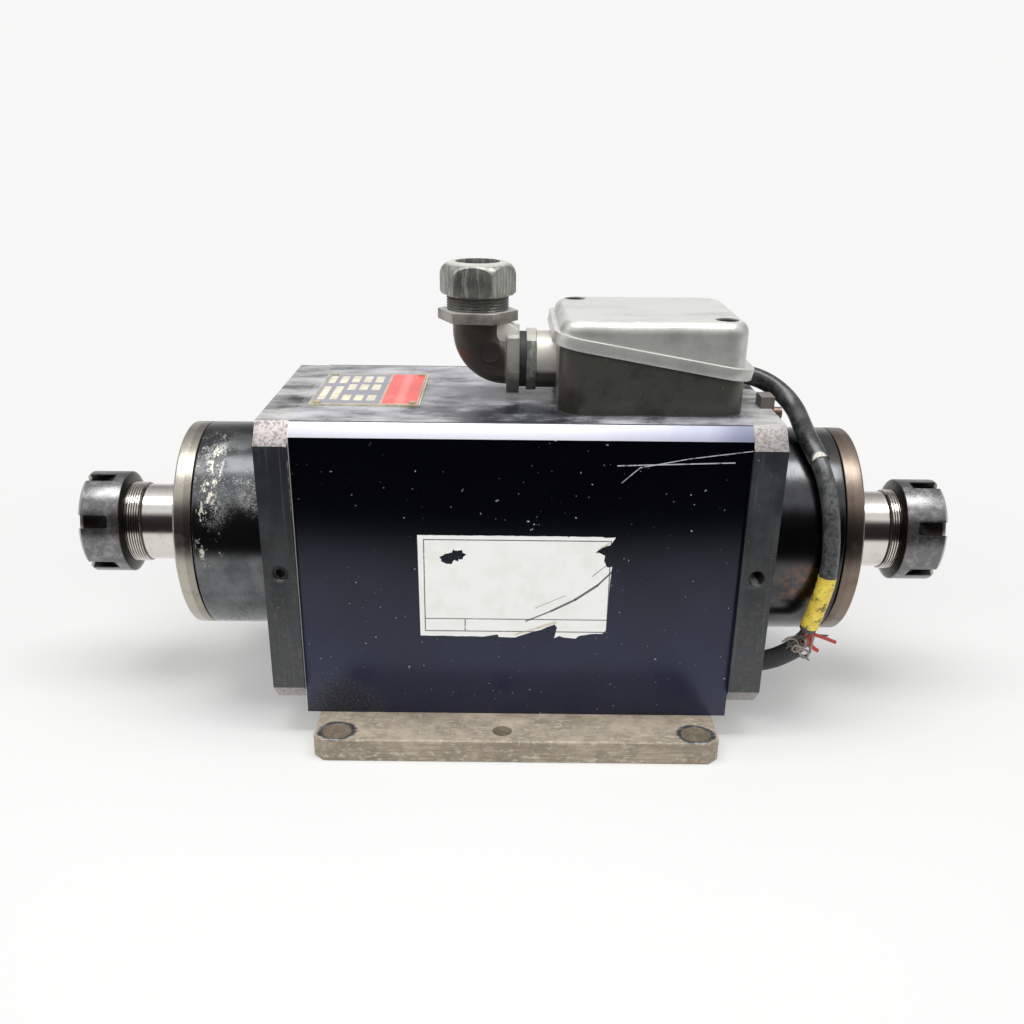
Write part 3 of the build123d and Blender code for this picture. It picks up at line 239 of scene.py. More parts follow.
class Wiring:
    """A node tree that is wired up in Python expressions."""

    def __init__(self, tree: bpy.types.NodeTree) -> None:
        """Take a node tree to wire."""
        self.tree = tree

    def node(self, kind: str, settings: dict | None = None, /, **sockets: object) -> bpy.types.Node:
        """Add a node.

        Args:
            kind: The node's type.
            settings: Properties that are set before the sockets.
            sockets: Values or links by socket name, with _ for a space, or in0, in1 by place.

        Returns:
            The new node.
        """
        made = self.tree.nodes.new(kind)
        for key, value in (settings or {}).items():
            if key == "stops":
                self._stops(made, value)
            else:
                setattr(made, key, value)
        for key, value in sockets.items():
            by_place = key[:2] == "in" and key[2:].isdigit()
            self.feed(made.inputs[int(key[2:]) if by_place else key.replace("_", " ")], value)
        return made

    @staticmethod
    def _stops(ramp: bpy.types.Node, stops: list[tuple[float, Colour]]) -> None:
        """Set the stops of a colour ramp.

        Args:
            ramp: The ramp node.
            stops: The place and colour of each stop, in order.
        """
        elements = ramp.color_ramp.elements
        while len(elements) > 1:
            elements.remove(elements[-1])
        elements[0].position = stops[0][0]
        elements[0].color = (*stops[0][1], 1)
        for place, colour in stops[1:]:
            elements.new(place).color = (*colour, 1)

    def feed(self, target: bpy.types.NodeSocket, value: object) -> None:
        """Link a Value to a socket, or set the socket to a constant.

        Args:
            target: The socket to feed.
            value: A Value, a number, a vector or a colour.
        """
        if isinstance(value, Value):
            self.tree.links.new(value.socket, target)
        elif isinstance(value, tuple) and len(value) == 3 and target.type == "RGBA":
            target.default_value = (*value, 1)
        else:
            target.default_value = value

    def math(self, operation: str, a: object, b: object = 0.0, c: object = 0.0) -> Value:
        """Return one Math node's result."""
        made = self.node("ShaderNodeMath", {"operation": operation}, in0=a, in1=b, in2=c)
        return Value(self, made.outputs[0])

    def ease(self, value: Value, low: float, high: float) -> Value:
        """Step smoothly from 0 to 1.

        Args:
            value: What is measured.
            low: Where the step starts; below it the result is 0.
            high: Where the step ends; above it the result is 1.

        Returns:
            The stepped value.
        """
        smooth = {"interpolation_type": "SMOOTHSTEP"}
        made = self.node("ShaderNodeMapRange", smooth, Value=value, From_Min=low, From_Max=high)
        return Value(self, made.outputs[0])

    def fall(self, value: Value, low: float, high: float) -> Value:
        """Return 1 below low, 0 above high and a smooth change between."""
        return 1 - self.ease(value, low, high)

    def mix(self, share: object, a: object, b: object) -> Value:
        """Blend one colour towards another.

        Args:
            share: How much of the second colour shows, from 0 to 1.
            a: The first colour.
            b: The second colour.

        Returns:
            The blended colour.
        """
        made = self.node("ShaderNodeMix", {"data_type": "RGBA"})
        for place, value in ((0, share), (6, a), (7, b)):
            self.feed(made.inputs[place], value)
        return Value(self, made.outputs[2])

    def high(self, a: object, b: object) -> Value:
        """Return the larger of two values."""
        return self.math("MAXIMUM", a, b)

    def low(self, a: object, b: object) -> Value:
        """Return the smaller of two values."""
        return self.math("MINIMUM", a, b)

    def size_of(self, value: Value) -> Value:
        """Return the absolute value."""
        return self.math("ABSOLUTE", value)

    def reach(self, a: Value, b: Value) -> Value:
        """Return the length of two steps at right angles to each other."""
        return self.math("SQRT", a * a + b * b)

    def axes(self, vector: Value) -> tuple[Value, ...]:
        """Return a vector's three parts."""
        parts = self.node("ShaderNodeSeparateXYZ", {}, Vector=vector)
        return tuple(Value(self, out) for out in parts.outputs)

    def rays(self) -> tuple[Value, Value]:
        """Tell the rays that the camera sees from those that gloss and glass show.

        Returns:
            1 for a camera ray, and 1 for a reflected or refracted one.
        """
        path = self.node("ShaderNodeLightPath")
        kinds = ("Camera", "Glossy", "Transmission")
        camera, glossy, clear = (Value(self, path.outputs[f"Is {kind} Ray"]) for kind in kinds)
        return camera, self.high(glossy, clear)


class Graph(Wiring):
    """A material's node graph around one Principled shader."""

    def __init__(self, name: str) -> None:
        """Start an empty material.

        Args:
            name: The material's name.
        """
        self.material = bpy.data.materials.new(name)
        self.material.use_nodes = True
        super().__init__(self.material.node_tree)
        self.shader = self.tree.nodes["Principled BSDF"]
        place = self.node("ShaderNodeTexCoord")
        self.place = Value(self, place.outputs["Object"])
        self.map = Value(self, place.outputs["UV"])
        self.x, self.y, self.z = self.axes(self.place)
        self.nx, self.ny, self.nz = self.axes(Value(self, place.outputs["Normal"]))

    def stretch(self, scale: Point) -> Value:
        """Return the object's coordinates, scaled."""
        return Value(self, self.node("ShaderNodeMapping", {}, Vector=self.place, Scale=scale).outputs[0])

    def noise(self, size: float, detail: float = 4, rough: float = 0.55, at: Value | None = None) -> Value:
        """Make cloudy noise.

        Args:
            size: About how wide its blotches are, in millimetres.
            detail: How many finer layers it has.
            rough: How strong the finer layers are.
            at: The coordinates that it reads, if not the object's own.

        Returns:
            The noise, about 0.5 on average.
        """
        made = self.node("ShaderNodeTexNoise", {}, Vector=at or self.place, Detail=detail, Roughness=rough)
        self.feed(made.inputs["Scale"], IN_MM / size)
        return Value(self, made.outputs[0])

    def cells(self, size: float) -> Value:
        """Return the distance field of cells about size millimetres wide."""
        made = self.node("ShaderNodeTexVoronoi", {}, Vector=self.place, Scale=IN_MM / size)
        return Value(self, made.outputs[0])

    def edge(self, centre: Point, half: Point) -> Value:
        """Measure how far a place is from the nearest edge of a box.

        Args:
            centre: The box's middle, in millimetres.
            half: Half of the box's size along each axis, in millimetres.

        Returns:
            The distance, in millimetres.
        """
        gaps = [
            deep - self.size_of(axis - middle * MM) * IN_MM
            for axis, middle, deep in zip((self.x, self.y, self.z), centre, half)
        ]
        small, big = self.low(gaps[0], gaps[1]), self.high(gaps[0], gaps[1])
        return self.high(small, self.low(big, gaps[2]))

    def border(self, across: Span, up: Span, axes: tuple[Value, Value]) -> Value:
        """Return how far a place is inside a rectangle's border, in the values' own unit."""
        gaps = [self.low(axis - start, end - axis) for axis, (start, end) in zip(axes, (across, up))]
        return self.low(*gaps)

    def off_axis(self) -> Value:
        """Return the distance, in millimetres, from the spindle's axis."""
        return self.reach(self.y, self.z - AXIS_Z) * IN_MM

    def rings(
        self, centres: tuple[Span, ...], inner: float, outer: float, ragged: Value | None = None
    ) -> Value:
        """Return soft-edged discs on the XY plane.

        Args:
            centres: The X and Y of each disc's middle, in millimetres.
            inner: The radius that is wholly inside, in millimetres.
            outer: The radius that is wholly outside, in millimetres.
            ragged: What is added to the distance, in millimetres, to break the edge up.

        Returns:
            1 on the discs and 0 elsewhere.
        """
        discs = []
        for x, y in centres:
            away = self.reach(self.x * IN_MM - x, self.y * IN_MM - y)
            discs.append(self.fall(away if ragged is None else away + ragged, inner, outer))
        return reduce(self.high, discs)

    def window(self, axis: Value, start: float, end: float, soft: float) -> Value:
        """Return 1 between two places, in millimetres, of one coordinate."""
        run = axis * IN_MM
        return self.ease(run, start - soft, start + soft) * self.fall(run, end - soft, end + soft)

    def bands(self, axis: Value, spans: tuple[Span, ...], soft: float = 0.12) -> Value:
        """Return 1 inside any of the spans, in millimetres, of one coordinate."""
        return reduce(Value.__add__, [self.window(axis, start, end, soft) for start, end in spans])

    def near(self, place: Point, reach: float, soft: float) -> Value:
        """Return 1 within a reach, in millimetres, of a point, fading over a soft edge."""
        gap = self.node("ShaderNodeVectorMath", {"operation": "DISTANCE"}, in0=self.place, in1=mm(*place))
        return self.fall(Value(self, gap.outputs["Value"]) * IN_MM, reach - soft, reach + soft)

    def patch(self, axes: tuple[Value, Value], low: Span, high: Span, soft: float) -> Value:
        """Return a soft-edged rectangle, in millimetres, over two coordinates."""
        sides = [self.window(axis, start, end, soft) for axis, start, end in zip(axes, low, high)]
        return sides[0] * sides[1]

    def scratch(self, start: Span, end: Span, width: float) -> Value:
        """Draw a thin straight line on the XZ plane.

        Args:
            start: Where it starts, in millimetres.
            end: Where it ends, in millimetres.
            width: How far it fades out to each side, in millimetres.

        Returns:
            1 on the line and 0 elsewhere.
        """
        run = (end[0] - start[0], end[1] - start[1])
        length = run[0] ** 2 + run[1] ** 2
        px, pz = self.x * IN_MM - start[0], self.z * IN_MM - start[1]
        share = self.low(self.high((px * run[0] + pz * run[1]) / length, 0.0), 1.0)
        return self.fall(self.reach(px - share * run[0], pz - share * run[1]), width * 0.4, width)

    def scratches(self, lines: tuple[Line, ...], colour: Value, tone: Colour, share: float) -> Value:
        """Draw thin lines over a colour.

        Args:
            lines: The start, end and width of each, in millimetres.
            colour: The colour that they cross.
            tone: Their own colour.
            share: How much of it shows.

        Returns:
            The crossed colour.
        """
        for start, end, width in lines:
            colour = self.mix(self.scratch(start, end, width) * share, colour, tone)
        return colour

    def bump(self, height: Value, depth: float) -> Value:
        """Return a normal bumped by a height, at a depth in millimetres."""
        made = self.node("ShaderNodeBump", {}, Height=height, Distance=depth * MM, Strength=1.0)
        return Value(self, made.outputs[0])

    def finish(self, **sockets: object) -> bpy.types.Material:
        """Feed the Principled shader.

        Args:
            sockets: Values or constants by socket name, with _ for a space.

        Returns:
            The finished material.
        """
        for key, value in sockets.items():
            self.feed(self.shader.inputs[key.replace("_", " ")], value)
        return self.material


# --- finishes ------------------------------------------------------------------------
@dataclass(frozen=True)
class Finish:
    """What every finish has: a name, and a way to build its material."""

    name: str

    def material(self) -> bpy.types.Material:
        """Return the finish as a new material."""
        return self.wire(Graph(self.name))

    def wire(self, g: Graph) -> bpy.types.Material:
        """Wire the finish up; each kind of finish has its own way."""
        raise NotImplementedError(type(self).__name__)


@dataclass(frozen=True)
class WornPaint(Finish):
    """Dark machine paint, greyed by dust on top and chipped to bare metal along the edges."""

    paint: Colour = (0.022, 0.024, 0.026)
    haze: Colour = (0.075, 0.08, 0.085)
    dust: Colour = (0.33, 0.32, 0.32)
    bare: Colour = (0.395, 0.36, 0.35)
    centre: Point = (0, 0, 0)
    half: Point = (FAR_OFF, FAR_OFF, FAR_OFF)
    edge_wear: float = 1.0
    bare_slopes: float = 0.0
    slope_start: Span = (0.070, 0.073)  # metres from the spindle's axis
    dust_on_top: float = 0.5
    roughness: float = 0.42
    # a point, in millimetres, near which there is less dust: glossier paint, and a patch of painted shade
    shiny: Point = (0, 0, -900)
    foot: Span = (40, 150)

    def wire(self, g: Graph) -> bpy.types.Material:
        """Wire the paint up.

        Args:
            g: The material's graph.

        Returns:
            The finished material.
        """
        cloud, grain, fine = g.noise(38, 6, 0.6), g.noise(2.2, 5, 0.65), g.noise(0.55, 3, 0.6)
        low_part = g.fall(g.z * IN_MM + (cloud - 0.5) * 60, *self.foot)
        upright = g.fall(g.nz, 0.4, 0.8)
        colour = g.mix(g.high(g.ease(cloud, 0.4, 0.75), low_part * 0.8), self.paint, self.haze)
        streak = g.noise(17, 7, 0.66, g.stretch((0.6, 1.0, 1.6)))
        top = g.ease(g.nz, 0.8, 0.95)
        # less dust near this point: the paint is glossier there, and the darker patch that this leaves is painted
        # shade under the gland elbow
        cover = streak + cloud * 0.4 - g.near(self.shiny, 44, 26) * 0.25
        dusty = g.ease(cover, 0.42, 0.90) * top * self.dust_on_top
        colour = g.mix(dusty, colour, self.dust)
        speck = g.ease(g.noise(1.3, 2, 0.5), 0.70, 0.76) * 0.5
        colour = g.mix(speck * g.ease(cloud, 0.4, 0.6), colour, (0.42, 0.40, 0.37))
        lines = g.ease(g.noise(1.5, 3, 0.6, g.stretch((1.0, 1.0, 0.02))), 0.54, 0.70)
        soil = g.ease(g.noise(3.2, 6, 0.8), 0.52, 0.62) * low_part * upright * 0.6
        colour = g.mix(soil, colour, (0.10, 0.085, 0.06))
        colour = g.mix(lines * upright * 0.22, colour, (0.15, 0.15, 0.155))
        near = g.edge(self.centre, self.half) + (grain - 0.5) * 1.6 + (cloud - 0.5) * 2.0 + 0.35
        chip = g.fall(near, 0.0, 0.25) * self.edge_wear
        slope = g.ease(g.size_of(g.nz), 0.5, 0.6) * g.fall(g.size_of(g.nz), 0.8, 0.9)
        slope = slope * g.ease(g.size_of(g.ny), 0.5, 0.6) * g.ease(g.size_of(g.z - AXIS_Z), *self.slope_start)
        chip = g.high(chip, slope * self.bare_slopes * (0.75 + 0.25 * g.ease(grain, 0.35, 0.5)))
        rust = g.ease(g.noise(1.9, 5, 0.75) - g.ease(cloud, 0.45, 0.6) * 0.04, 0.47, 0.56)
        metal = g.mix(rust * 0.85, self.bare, (0.15, 0.12, 0.115))
        colour = g.mix(chip, colour, metal)
        rough = self.roughness + (fine - 0.5) * 0.2 + dusty * 0.3 - chip * 0.05
        height = (1 - chip) * 0.6 + grain * 0.35 + fine * 0.15
        return g.finish(Base_Color=colour, Roughness=rough, Metallic=chip * 0.4, Normal=g.bump(height, 0.12))


@dataclass(frozen=True)
class BlackenedHousing(Finish):
    """A blackened steel housing, burnished by handling, with flaking patches, painted shade on its top and a dark
    joint to its ring.
    """

    tone: Colour = (0.15, 0.155, 0.16)
    # how strongly the flakes, marks and foot dirt show, and how much painted shade darkens the top
    flaked: float = 1.0
    rough: float = 0.2
    seam: float = 189.5
    worn: tuple[Area, Area] = (((-190, 124), (-168, 168), 9.0), ((-162, 130), (-148, 150), 6.0))
    streaked: Area = ((-187, 101), (-174, 166), 4.0)
    foot: Area = ((-187, 50), (-160, 70), 5.0)
    thumbed: Point = (-165, -22, 163)
    burnt: Point = (170, -60, 92)

    def wire(self, g: Graph) -> bpy.types.Material:
        """Wire the blackened steel up.

        Args:
            g: The material's graph.

        Returns:
            The finished material.
        """
        cloud, fine, torn = g.noise(15, 6, 0.62), g.noise(0.5, 3, 0.6), g.noise(4.2, 7, 0.78)
        rings = g.noise(1.6, 4, 0.7, g.stretch((2.0, 0.05, 0.05)))
        colour = g.mix(g.ease(cloud, 0.36, 0.68), self.tone, toned(self.tone, 0.6))
        colour = g.mix(g.ease(rings, 0.52, 0.7) * 0.25, colour, toned(self.tone, 1.7))
        # painted shade: upward-facing faces are darkened, to dim the lamp's highlight along the housing's top
        colour = g.mix(g.ease(g.nz, 0.55, 0.8) * self.flaked * 0.85, colour, toned(self.tone, 0.3))
        across, front = (g.x, g.z), g.ease(0.0 - g.y, 0.0, 0.02)
        zone = (g.patch(across, *self.worn[0]) + g.patch(across, *self.worn[1])) * front * self.flaked
        streaks = g.patch(across, *self.streaked) * front * self.flaked
        fleck = g.ease(g.noise(0.9, 6, 0.82) * 0.6 + cloud * 0.4 + zone * 0.05, 0.54, 0.60) * zone * 0.8
        blob = g.ease(g.noise(6.5, 6, 0.72, g.stretch((1.5, 1.0, 0.8))), 0.56, 0.60) * streaks
        flake = g.high(fleck, blob)
        cream = g.mix(g.ease(fine, 0.4, 0.6), (0.60, 0.55, 0.40), (0.80, 0.78, 0.70))
        colour = g.mix(fleck, colour, g.mix(g.ease(torn, 0.42, 0.6), (0.34, 0.345, 0.34), (0.66, 0.67, 0.66)))
        colour = g.mix(blob, colour, cream)
        mark = g.near(self.thumbed, 8.5, 3.0) * 0.2 * self.flaked
        colour = g.mix(mark, colour, (0.45, 0.46, 0.46))
        brown = g.near(self.burnt, 15, 8) * g.ease(torn, 0.42, 0.62) * (1 - self.flaked)
        colour = g.mix(brown * 0.8, colour, (0.20, 0.115, 0.085))
        foot = g.patch(across, *self.foot) * g.ease(g.noise(2.6, 6, 0.75), 0.54, 0.62) * self.flaked
        colour = g.mix(foot * 0.8, colour, (0.035, 0.03, 0.018))
        joint = g.ease(g.size_of(g.x) * IN_MM, self.seam, self.seam + 0.25)
        colour = g.mix(joint, colour, (0.004, 0.004, 0.004))
        rough = self.rough + (cloud - 0.5) * 0.2 + flake * 0.25 + mark * 0.6 + foot * 0.3
        metallic = (1 - g.high(g.high(fleck * 0.2, blob * 0.7), foot)) * (1 - joint)
        normal = g.bump(1 - flake + fine * 0.1, 0.08)
        return g.finish(Base_Color=colour, Roughness=rough, Metallic=metallic, Normal=normal)


@dataclass(frozen=True)
class CastAluminium(Finish):
    """Sand-cast aluminium with a fine grain, handling stains and what each casting adds to them, among them a painted
    lit top, a painted lit neck with painted shade under it, and painted shade in screw recesses.
    """

    tone: Colour = (0.50, 0.495, 0.47)
    dark: Colour = (0.27, 0.265, 0.25)
    grain: float = 1.1
    rough: float = 0.42
    metallic: float = 0.8
    depth: float = 0.09
    recesses: tuple[Span, ...] = ()
    recess_radius: Span = (6.4, 6.8)
    recess_top: Span = (239.8, 240.7)
    bend_tone: Colour | None = None
    bend_end: Span = (-10.0, -7.5)
    bend_top: Span = (232.4, 232.9)
    # colour of a painted lit top, if any: upward faces brightened as if by the overhead light
    top_tone: Colour | None = None
    boss_end: float | None = None
    boss_top: Span = (205, 208.5)
    streaked: float = 0.0

    def wire(self, g: Graph) -> bpy.types.Material:
        """Wire the casting up.

        Args:
            g: The material's graph.

        Returns:
            The finished material.
        """
        sand, pits, stain = g.noise(self.grain, 4, 0.7), g.cells(self.grain * 2.2), g.noise(22, 6, 0.62)
        colour = g.mix(g.ease(stain, 0.38, 0.68), self.tone, self.dark)
        colour = g.mix(g.ease(sand, 0.55, 0.75) * 0.45, colour, toned(self.tone, 0.45))
        colour = g.mix(g.ease(g.noise(3.1, 3, 0.6), 0.66, 0.74) * 0.35, colour, (0.30, 0.24, 0.17))
        if self.streaked:
            run = g.noise(1.9, 5, 0.7, g.stretch((1.0, 1.0, 0.12)))
            colour = g.mix(g.ease(run, 0.50, 0.64) * self.streaked, colour, toned(self.tone, 2.1))
            colour = g.mix(g.fall(run, 0.36, 0.46) * self.streaked, colour, toned(self.tone, 0.3))
        # painted light: upward-facing faces take the brighter top colour, standing in for the overhead light falling
        # on them, and are made less metallic
        painted_lit_top = g.ease(g.nz, 0.75, 0.96) * (1.0 if self.top_tone else 0.0)
        if self.top_tone:
            lit_top_mottle = g.noise(26, 6, 0.7, g.stretch((0.5, 1.2, 1.0)))
            lit_top_colour = g.mix(g.ease(lit_top_mottle, 0.46, 0.66), self.top_tone, toned(self.top_tone, 0.78))
            colour = g.mix(painted_lit_top, colour, lit_top_colour)
        if self.boss_end:
            # painted light and shade: the boss neck by the box is painted a bright casting colour, standing in for
            # light from above, and near black below the boss's top, standing in for the shade under it
            neck = g.fall(g.x * IN_MM, self.boss_end - 0.5, self.boss_end + 0.5)
            under = neck * g.fall(g.z * IN_MM, *self.boss_top)
            lit_casting = g.mix(g.ease(stain, 0.4, 0.66), (0.60, 0.58, 0.52), (0.44, 0.42, 0.37))
            colour = g.mix(neck, colour, lit_casting)
            colour = g.mix(under * 0.9, colour, (0.012, 0.011, 0.010))
        if self.bend_tone:
            bend = g.fall(g.x * IN_MM + (stain - 0.5) * 3, *self.bend_end)
            bend = bend * g.fall(g.z * IN_MM, *self.bend_top)
            rust = g.mix(g.ease(g.noise(6, 5, 0.7), 0.56, 0.66), self.bend_tone, (0.075, 0.035, 0.022))
            colour = g.mix(bend * 0.93, colour, rust)
        # painted shade: the lid's screw recesses are painted near black below their rim
        if self.recesses:
            sunk = g.rings(self.recesses, *self.recess_radius) * g.fall(g.z * IN_MM, *self.recess_top)
            colour = g.mix(sunk, colour, (0.006, 0.006, 0.007))
        rough = self.rough + (stain - 0.5) * 0.25 + (sand - 0.5) * 0.25
        normal = g.bump(sand * 0.7 + g.ease(pits, 0.0, 0.5) * 0.3, self.depth)
        metallic = self.metallic - painted_lit_top * self.metallic * 0.55
        return g.finish(Base_Color=colour, Roughness=rough, Metallic=metallic, Normal=normal)


@dataclass(frozen=True)
class TurnedSteel(Finish):
    """Steel turned about the spindle axis: rings of tool marks, stains and wear, with a painted highlight on the
    ring's outer end and painted shade in the thread valleys.
    """

    tone: Colour = (0.60, 0.57, 0.53)
    stain: Colour = (0.26, 0.22, 0.18)
    stained: float = 0.35
    rough: float = 0.27
    marks: float = 1.0
    metallic: float = 1.0
    lip: float = 0.0
    lip_start: Span = (194.2, 195.4)
    seam: float = 190.0
    valley: float = 0.0
    valley_radius: Span = (24.3, 24.85)
    left_nose: Span = (0.2314, 0.2318)  # metres from the middle, where each thread starts
    right_nose: Span = (0.2290, 0.2294)

    def wire(self, g: Graph) -> bpy.types.Material:
        """Wire the turned steel up.

        Args:
            g: The material's graph.

        Returns:
            The finished material.
        """
        rings = g.noise(1.1, 4, 0.8, g.stretch((3.0, 0.05, 0.05)))
        patch, speck = g.noise(11, 7, 0.68), g.noise(1.4, 3, 0.6)
        colour = g.mix(g.ease(patch, 0.45, 0.72) * self.stained, self.tone, self.stain)
        colour = g.mix(g.ease(speck, 0.62, 0.72) * self.stained, colour, toned(self.stain, 0.5))
        colour = g.mix(g.ease(rings, 0.5, 0.75) * 0.25, colour, toned(self.tone, 0.6))
        # painted highlight: the ring's outer end is painted brighter
        bright = g.ease(g.size_of(g.x) * IN_MM + (patch - 0.5) * 1.5, *self.lip_start) * self.lip
        colour = g.mix(bright * 0.75, colour, tuple(min(part, 0.9) for part in toned(self.tone, 1.45)))
        seam = g.fall(g.size_of(g.size_of(g.x) * IN_MM - self.seam), 0.3, 0.5)
        colour = g.mix(seam, colour, (0.01, 0.01, 0.01))
        # painted shade: the thread valleys, inside the valley radius, are painted dark
        threaded = g.ease(0.0 - g.x, *self.left_nose) + g.ease(g.x, *self.right_nose)
        painted_valley_shade = g.fall(g.off_axis(), *self.valley_radius) * threaded * self.valley
        colour = g.mix(painted_valley_shade, colour, (0.05, 0.042, 0.034))
        rough = self.rough + (rings - 0.5) * 0.18 + g.ease(patch, 0.5, 0.7) * 0.2 * self.stained
        normal = g.bump(rings, 0.03 * self.marks)
        return g.finish(Base_Color=colour, Roughness=rough, Metallic=self.metallic, Normal=normal)


@dataclass(frozen=True)
class ForgedNut(Finish):
    """Dark, mottled nut steel with bright bruised edges and painted shade in its slots."""

    front: float
    tone: Colour = (0.17, 0.168, 0.172)
    bright: Colour = (0.66, 0.65, 0.62)
    slot_radius: Span = (30.7, 31.1)
    shell_radius: Span = (30.9, 31.3)

    def wire(self, g: Graph) -> bpy.types.Material:
        """Wire the nut steel up.

        Args:
            g: The material's graph.

        Returns:
            The finished material.
        """
        mottle, fine = g.noise(7.5, 8, 0.78), g.noise(0.9, 4, 0.65)
        colour = g.mix(g.ease(mottle, 0.45, 0.62), self.tone, (0.24, 0.24, 0.245))
        colour = g.mix(g.ease(fine, 0.58, 0.70) * 0.6, colour, (0.06, 0.055, 0.055))
        rim = g.off_axis()
        # painted shade: inside the slot radius, the slot floors and the rear recess are painted near black
        colour = g.mix(g.fall(rim, *self.slot_radius) * 0.93, colour, (0.018, 0.015, 0.011))
        outer = g.ease(rim + (fine - 0.5) * 0.8, *self.shell_radius)
        from_front = g.size_of(g.size_of(g.x) * IN_MM - self.front)
        nose = g.fall(from_front + (mottle - 0.5) * 2.2, 0.9, 2.4)
        colour = g.mix(g.high(nose * 0.75, outer * g.ease(mottle, 0.5, 0.62) * 0.15), colour, self.bright)
        rough = 0.30 + (mottle - 0.5) * 0.4 + (fine - 0.5) * 0.25
        normal = g.bump(fine * 0.6 + mottle * 0.4, 0.05)
        return g.finish(Base_Color=colour, Roughness=rough, Metallic=0.9, Normal=normal)


@dataclass(frozen=True)
class CorrodedPlate(Finish):
    """A milled base plate, rusted and crusted with pale deposits, polished round its screw holes."""

    tone: Colour = (0.47, 0.40, 0.31)
    pale: Colour = (0.72, 0.65, 0.53)
    dark: Colour = (0.10, 0.075, 0.055)
    screws: tuple[Span, ...] = ((-105, -105), (105, -105), (-105, 105), (105, 105))
    screw_reach: Span = (10.0, 12.4)
    top: Span = (12.5, 13.0)
    damp: Span = (3.0, 11.0)

    def wire(self, g: Graph) -> bpy.types.Material:
        """Wire the corroded metal up.

        Args:
            g: The material's graph.

        Returns:
            The finished material.
        """
        cloud, pits = g.noise(17, 7, 0.7), g.cells(1.7)
        crust = g.noise(2.1, 6, 0.78, g.stretch((0.45, 1.0, 1.0)))
        brush = g.noise(1.5, 4, 0.7, g.stretch((0.06, 1.0, 1.0)))
        colour = g.mix(g.ease(cloud, 0.36, 0.64), self.tone, toned(self.tone, 0.62))
        thick = g.ease(cloud + g.fall(g.z * IN_MM, *self.damp) * 0.14, 0.50, 0.66)
        colour = g.mix(g.ease(crust, 0.50, 0.60) * (0.28 + thick * 0.5), colour, self.pale)
        colour = g.mix(g.fall(pits, 0.06, 0.2) * g.ease(cloud, 0.42, 0.55), colour, self.dark)
        side = g.fall(g.nz, 0.3, 0.8)
        colour = g.mix(side * g.ease(brush, 0.42, 0.60) * 0.6, colour, (0.27, 0.22, 0.16))
        worn = g.rings(self.screws, *self.screw_reach, (crust - 0.5) * 5.0 + (cloud - 0.5) * 5.0)
        worn = worn * g.ease(g.z * IN_MM, *self.top) * (1 - side)
        steel = g.mix(g.ease(crust, 0.45, 0.6), (0.10, 0.115, 0.13), (0.36, 0.38, 0.40))
        colour = g.mix(worn * 0.85, colour, steel)
        rough = 0.72 - worn * 0.36 + (crust - 0.5) * 0.2
        height = g.ease(crust, 0.4, 0.7) * 0.5 * (1 - worn) + g.ease(pits, 0.05, 0.25) * 0.5
        metallic = 0.15 + worn * 0.65 + side * 0.2
        return g.finish(Base_Color=colour, Roughness=rough, Metallic=metallic, Normal=g.bump(height, 0.16))


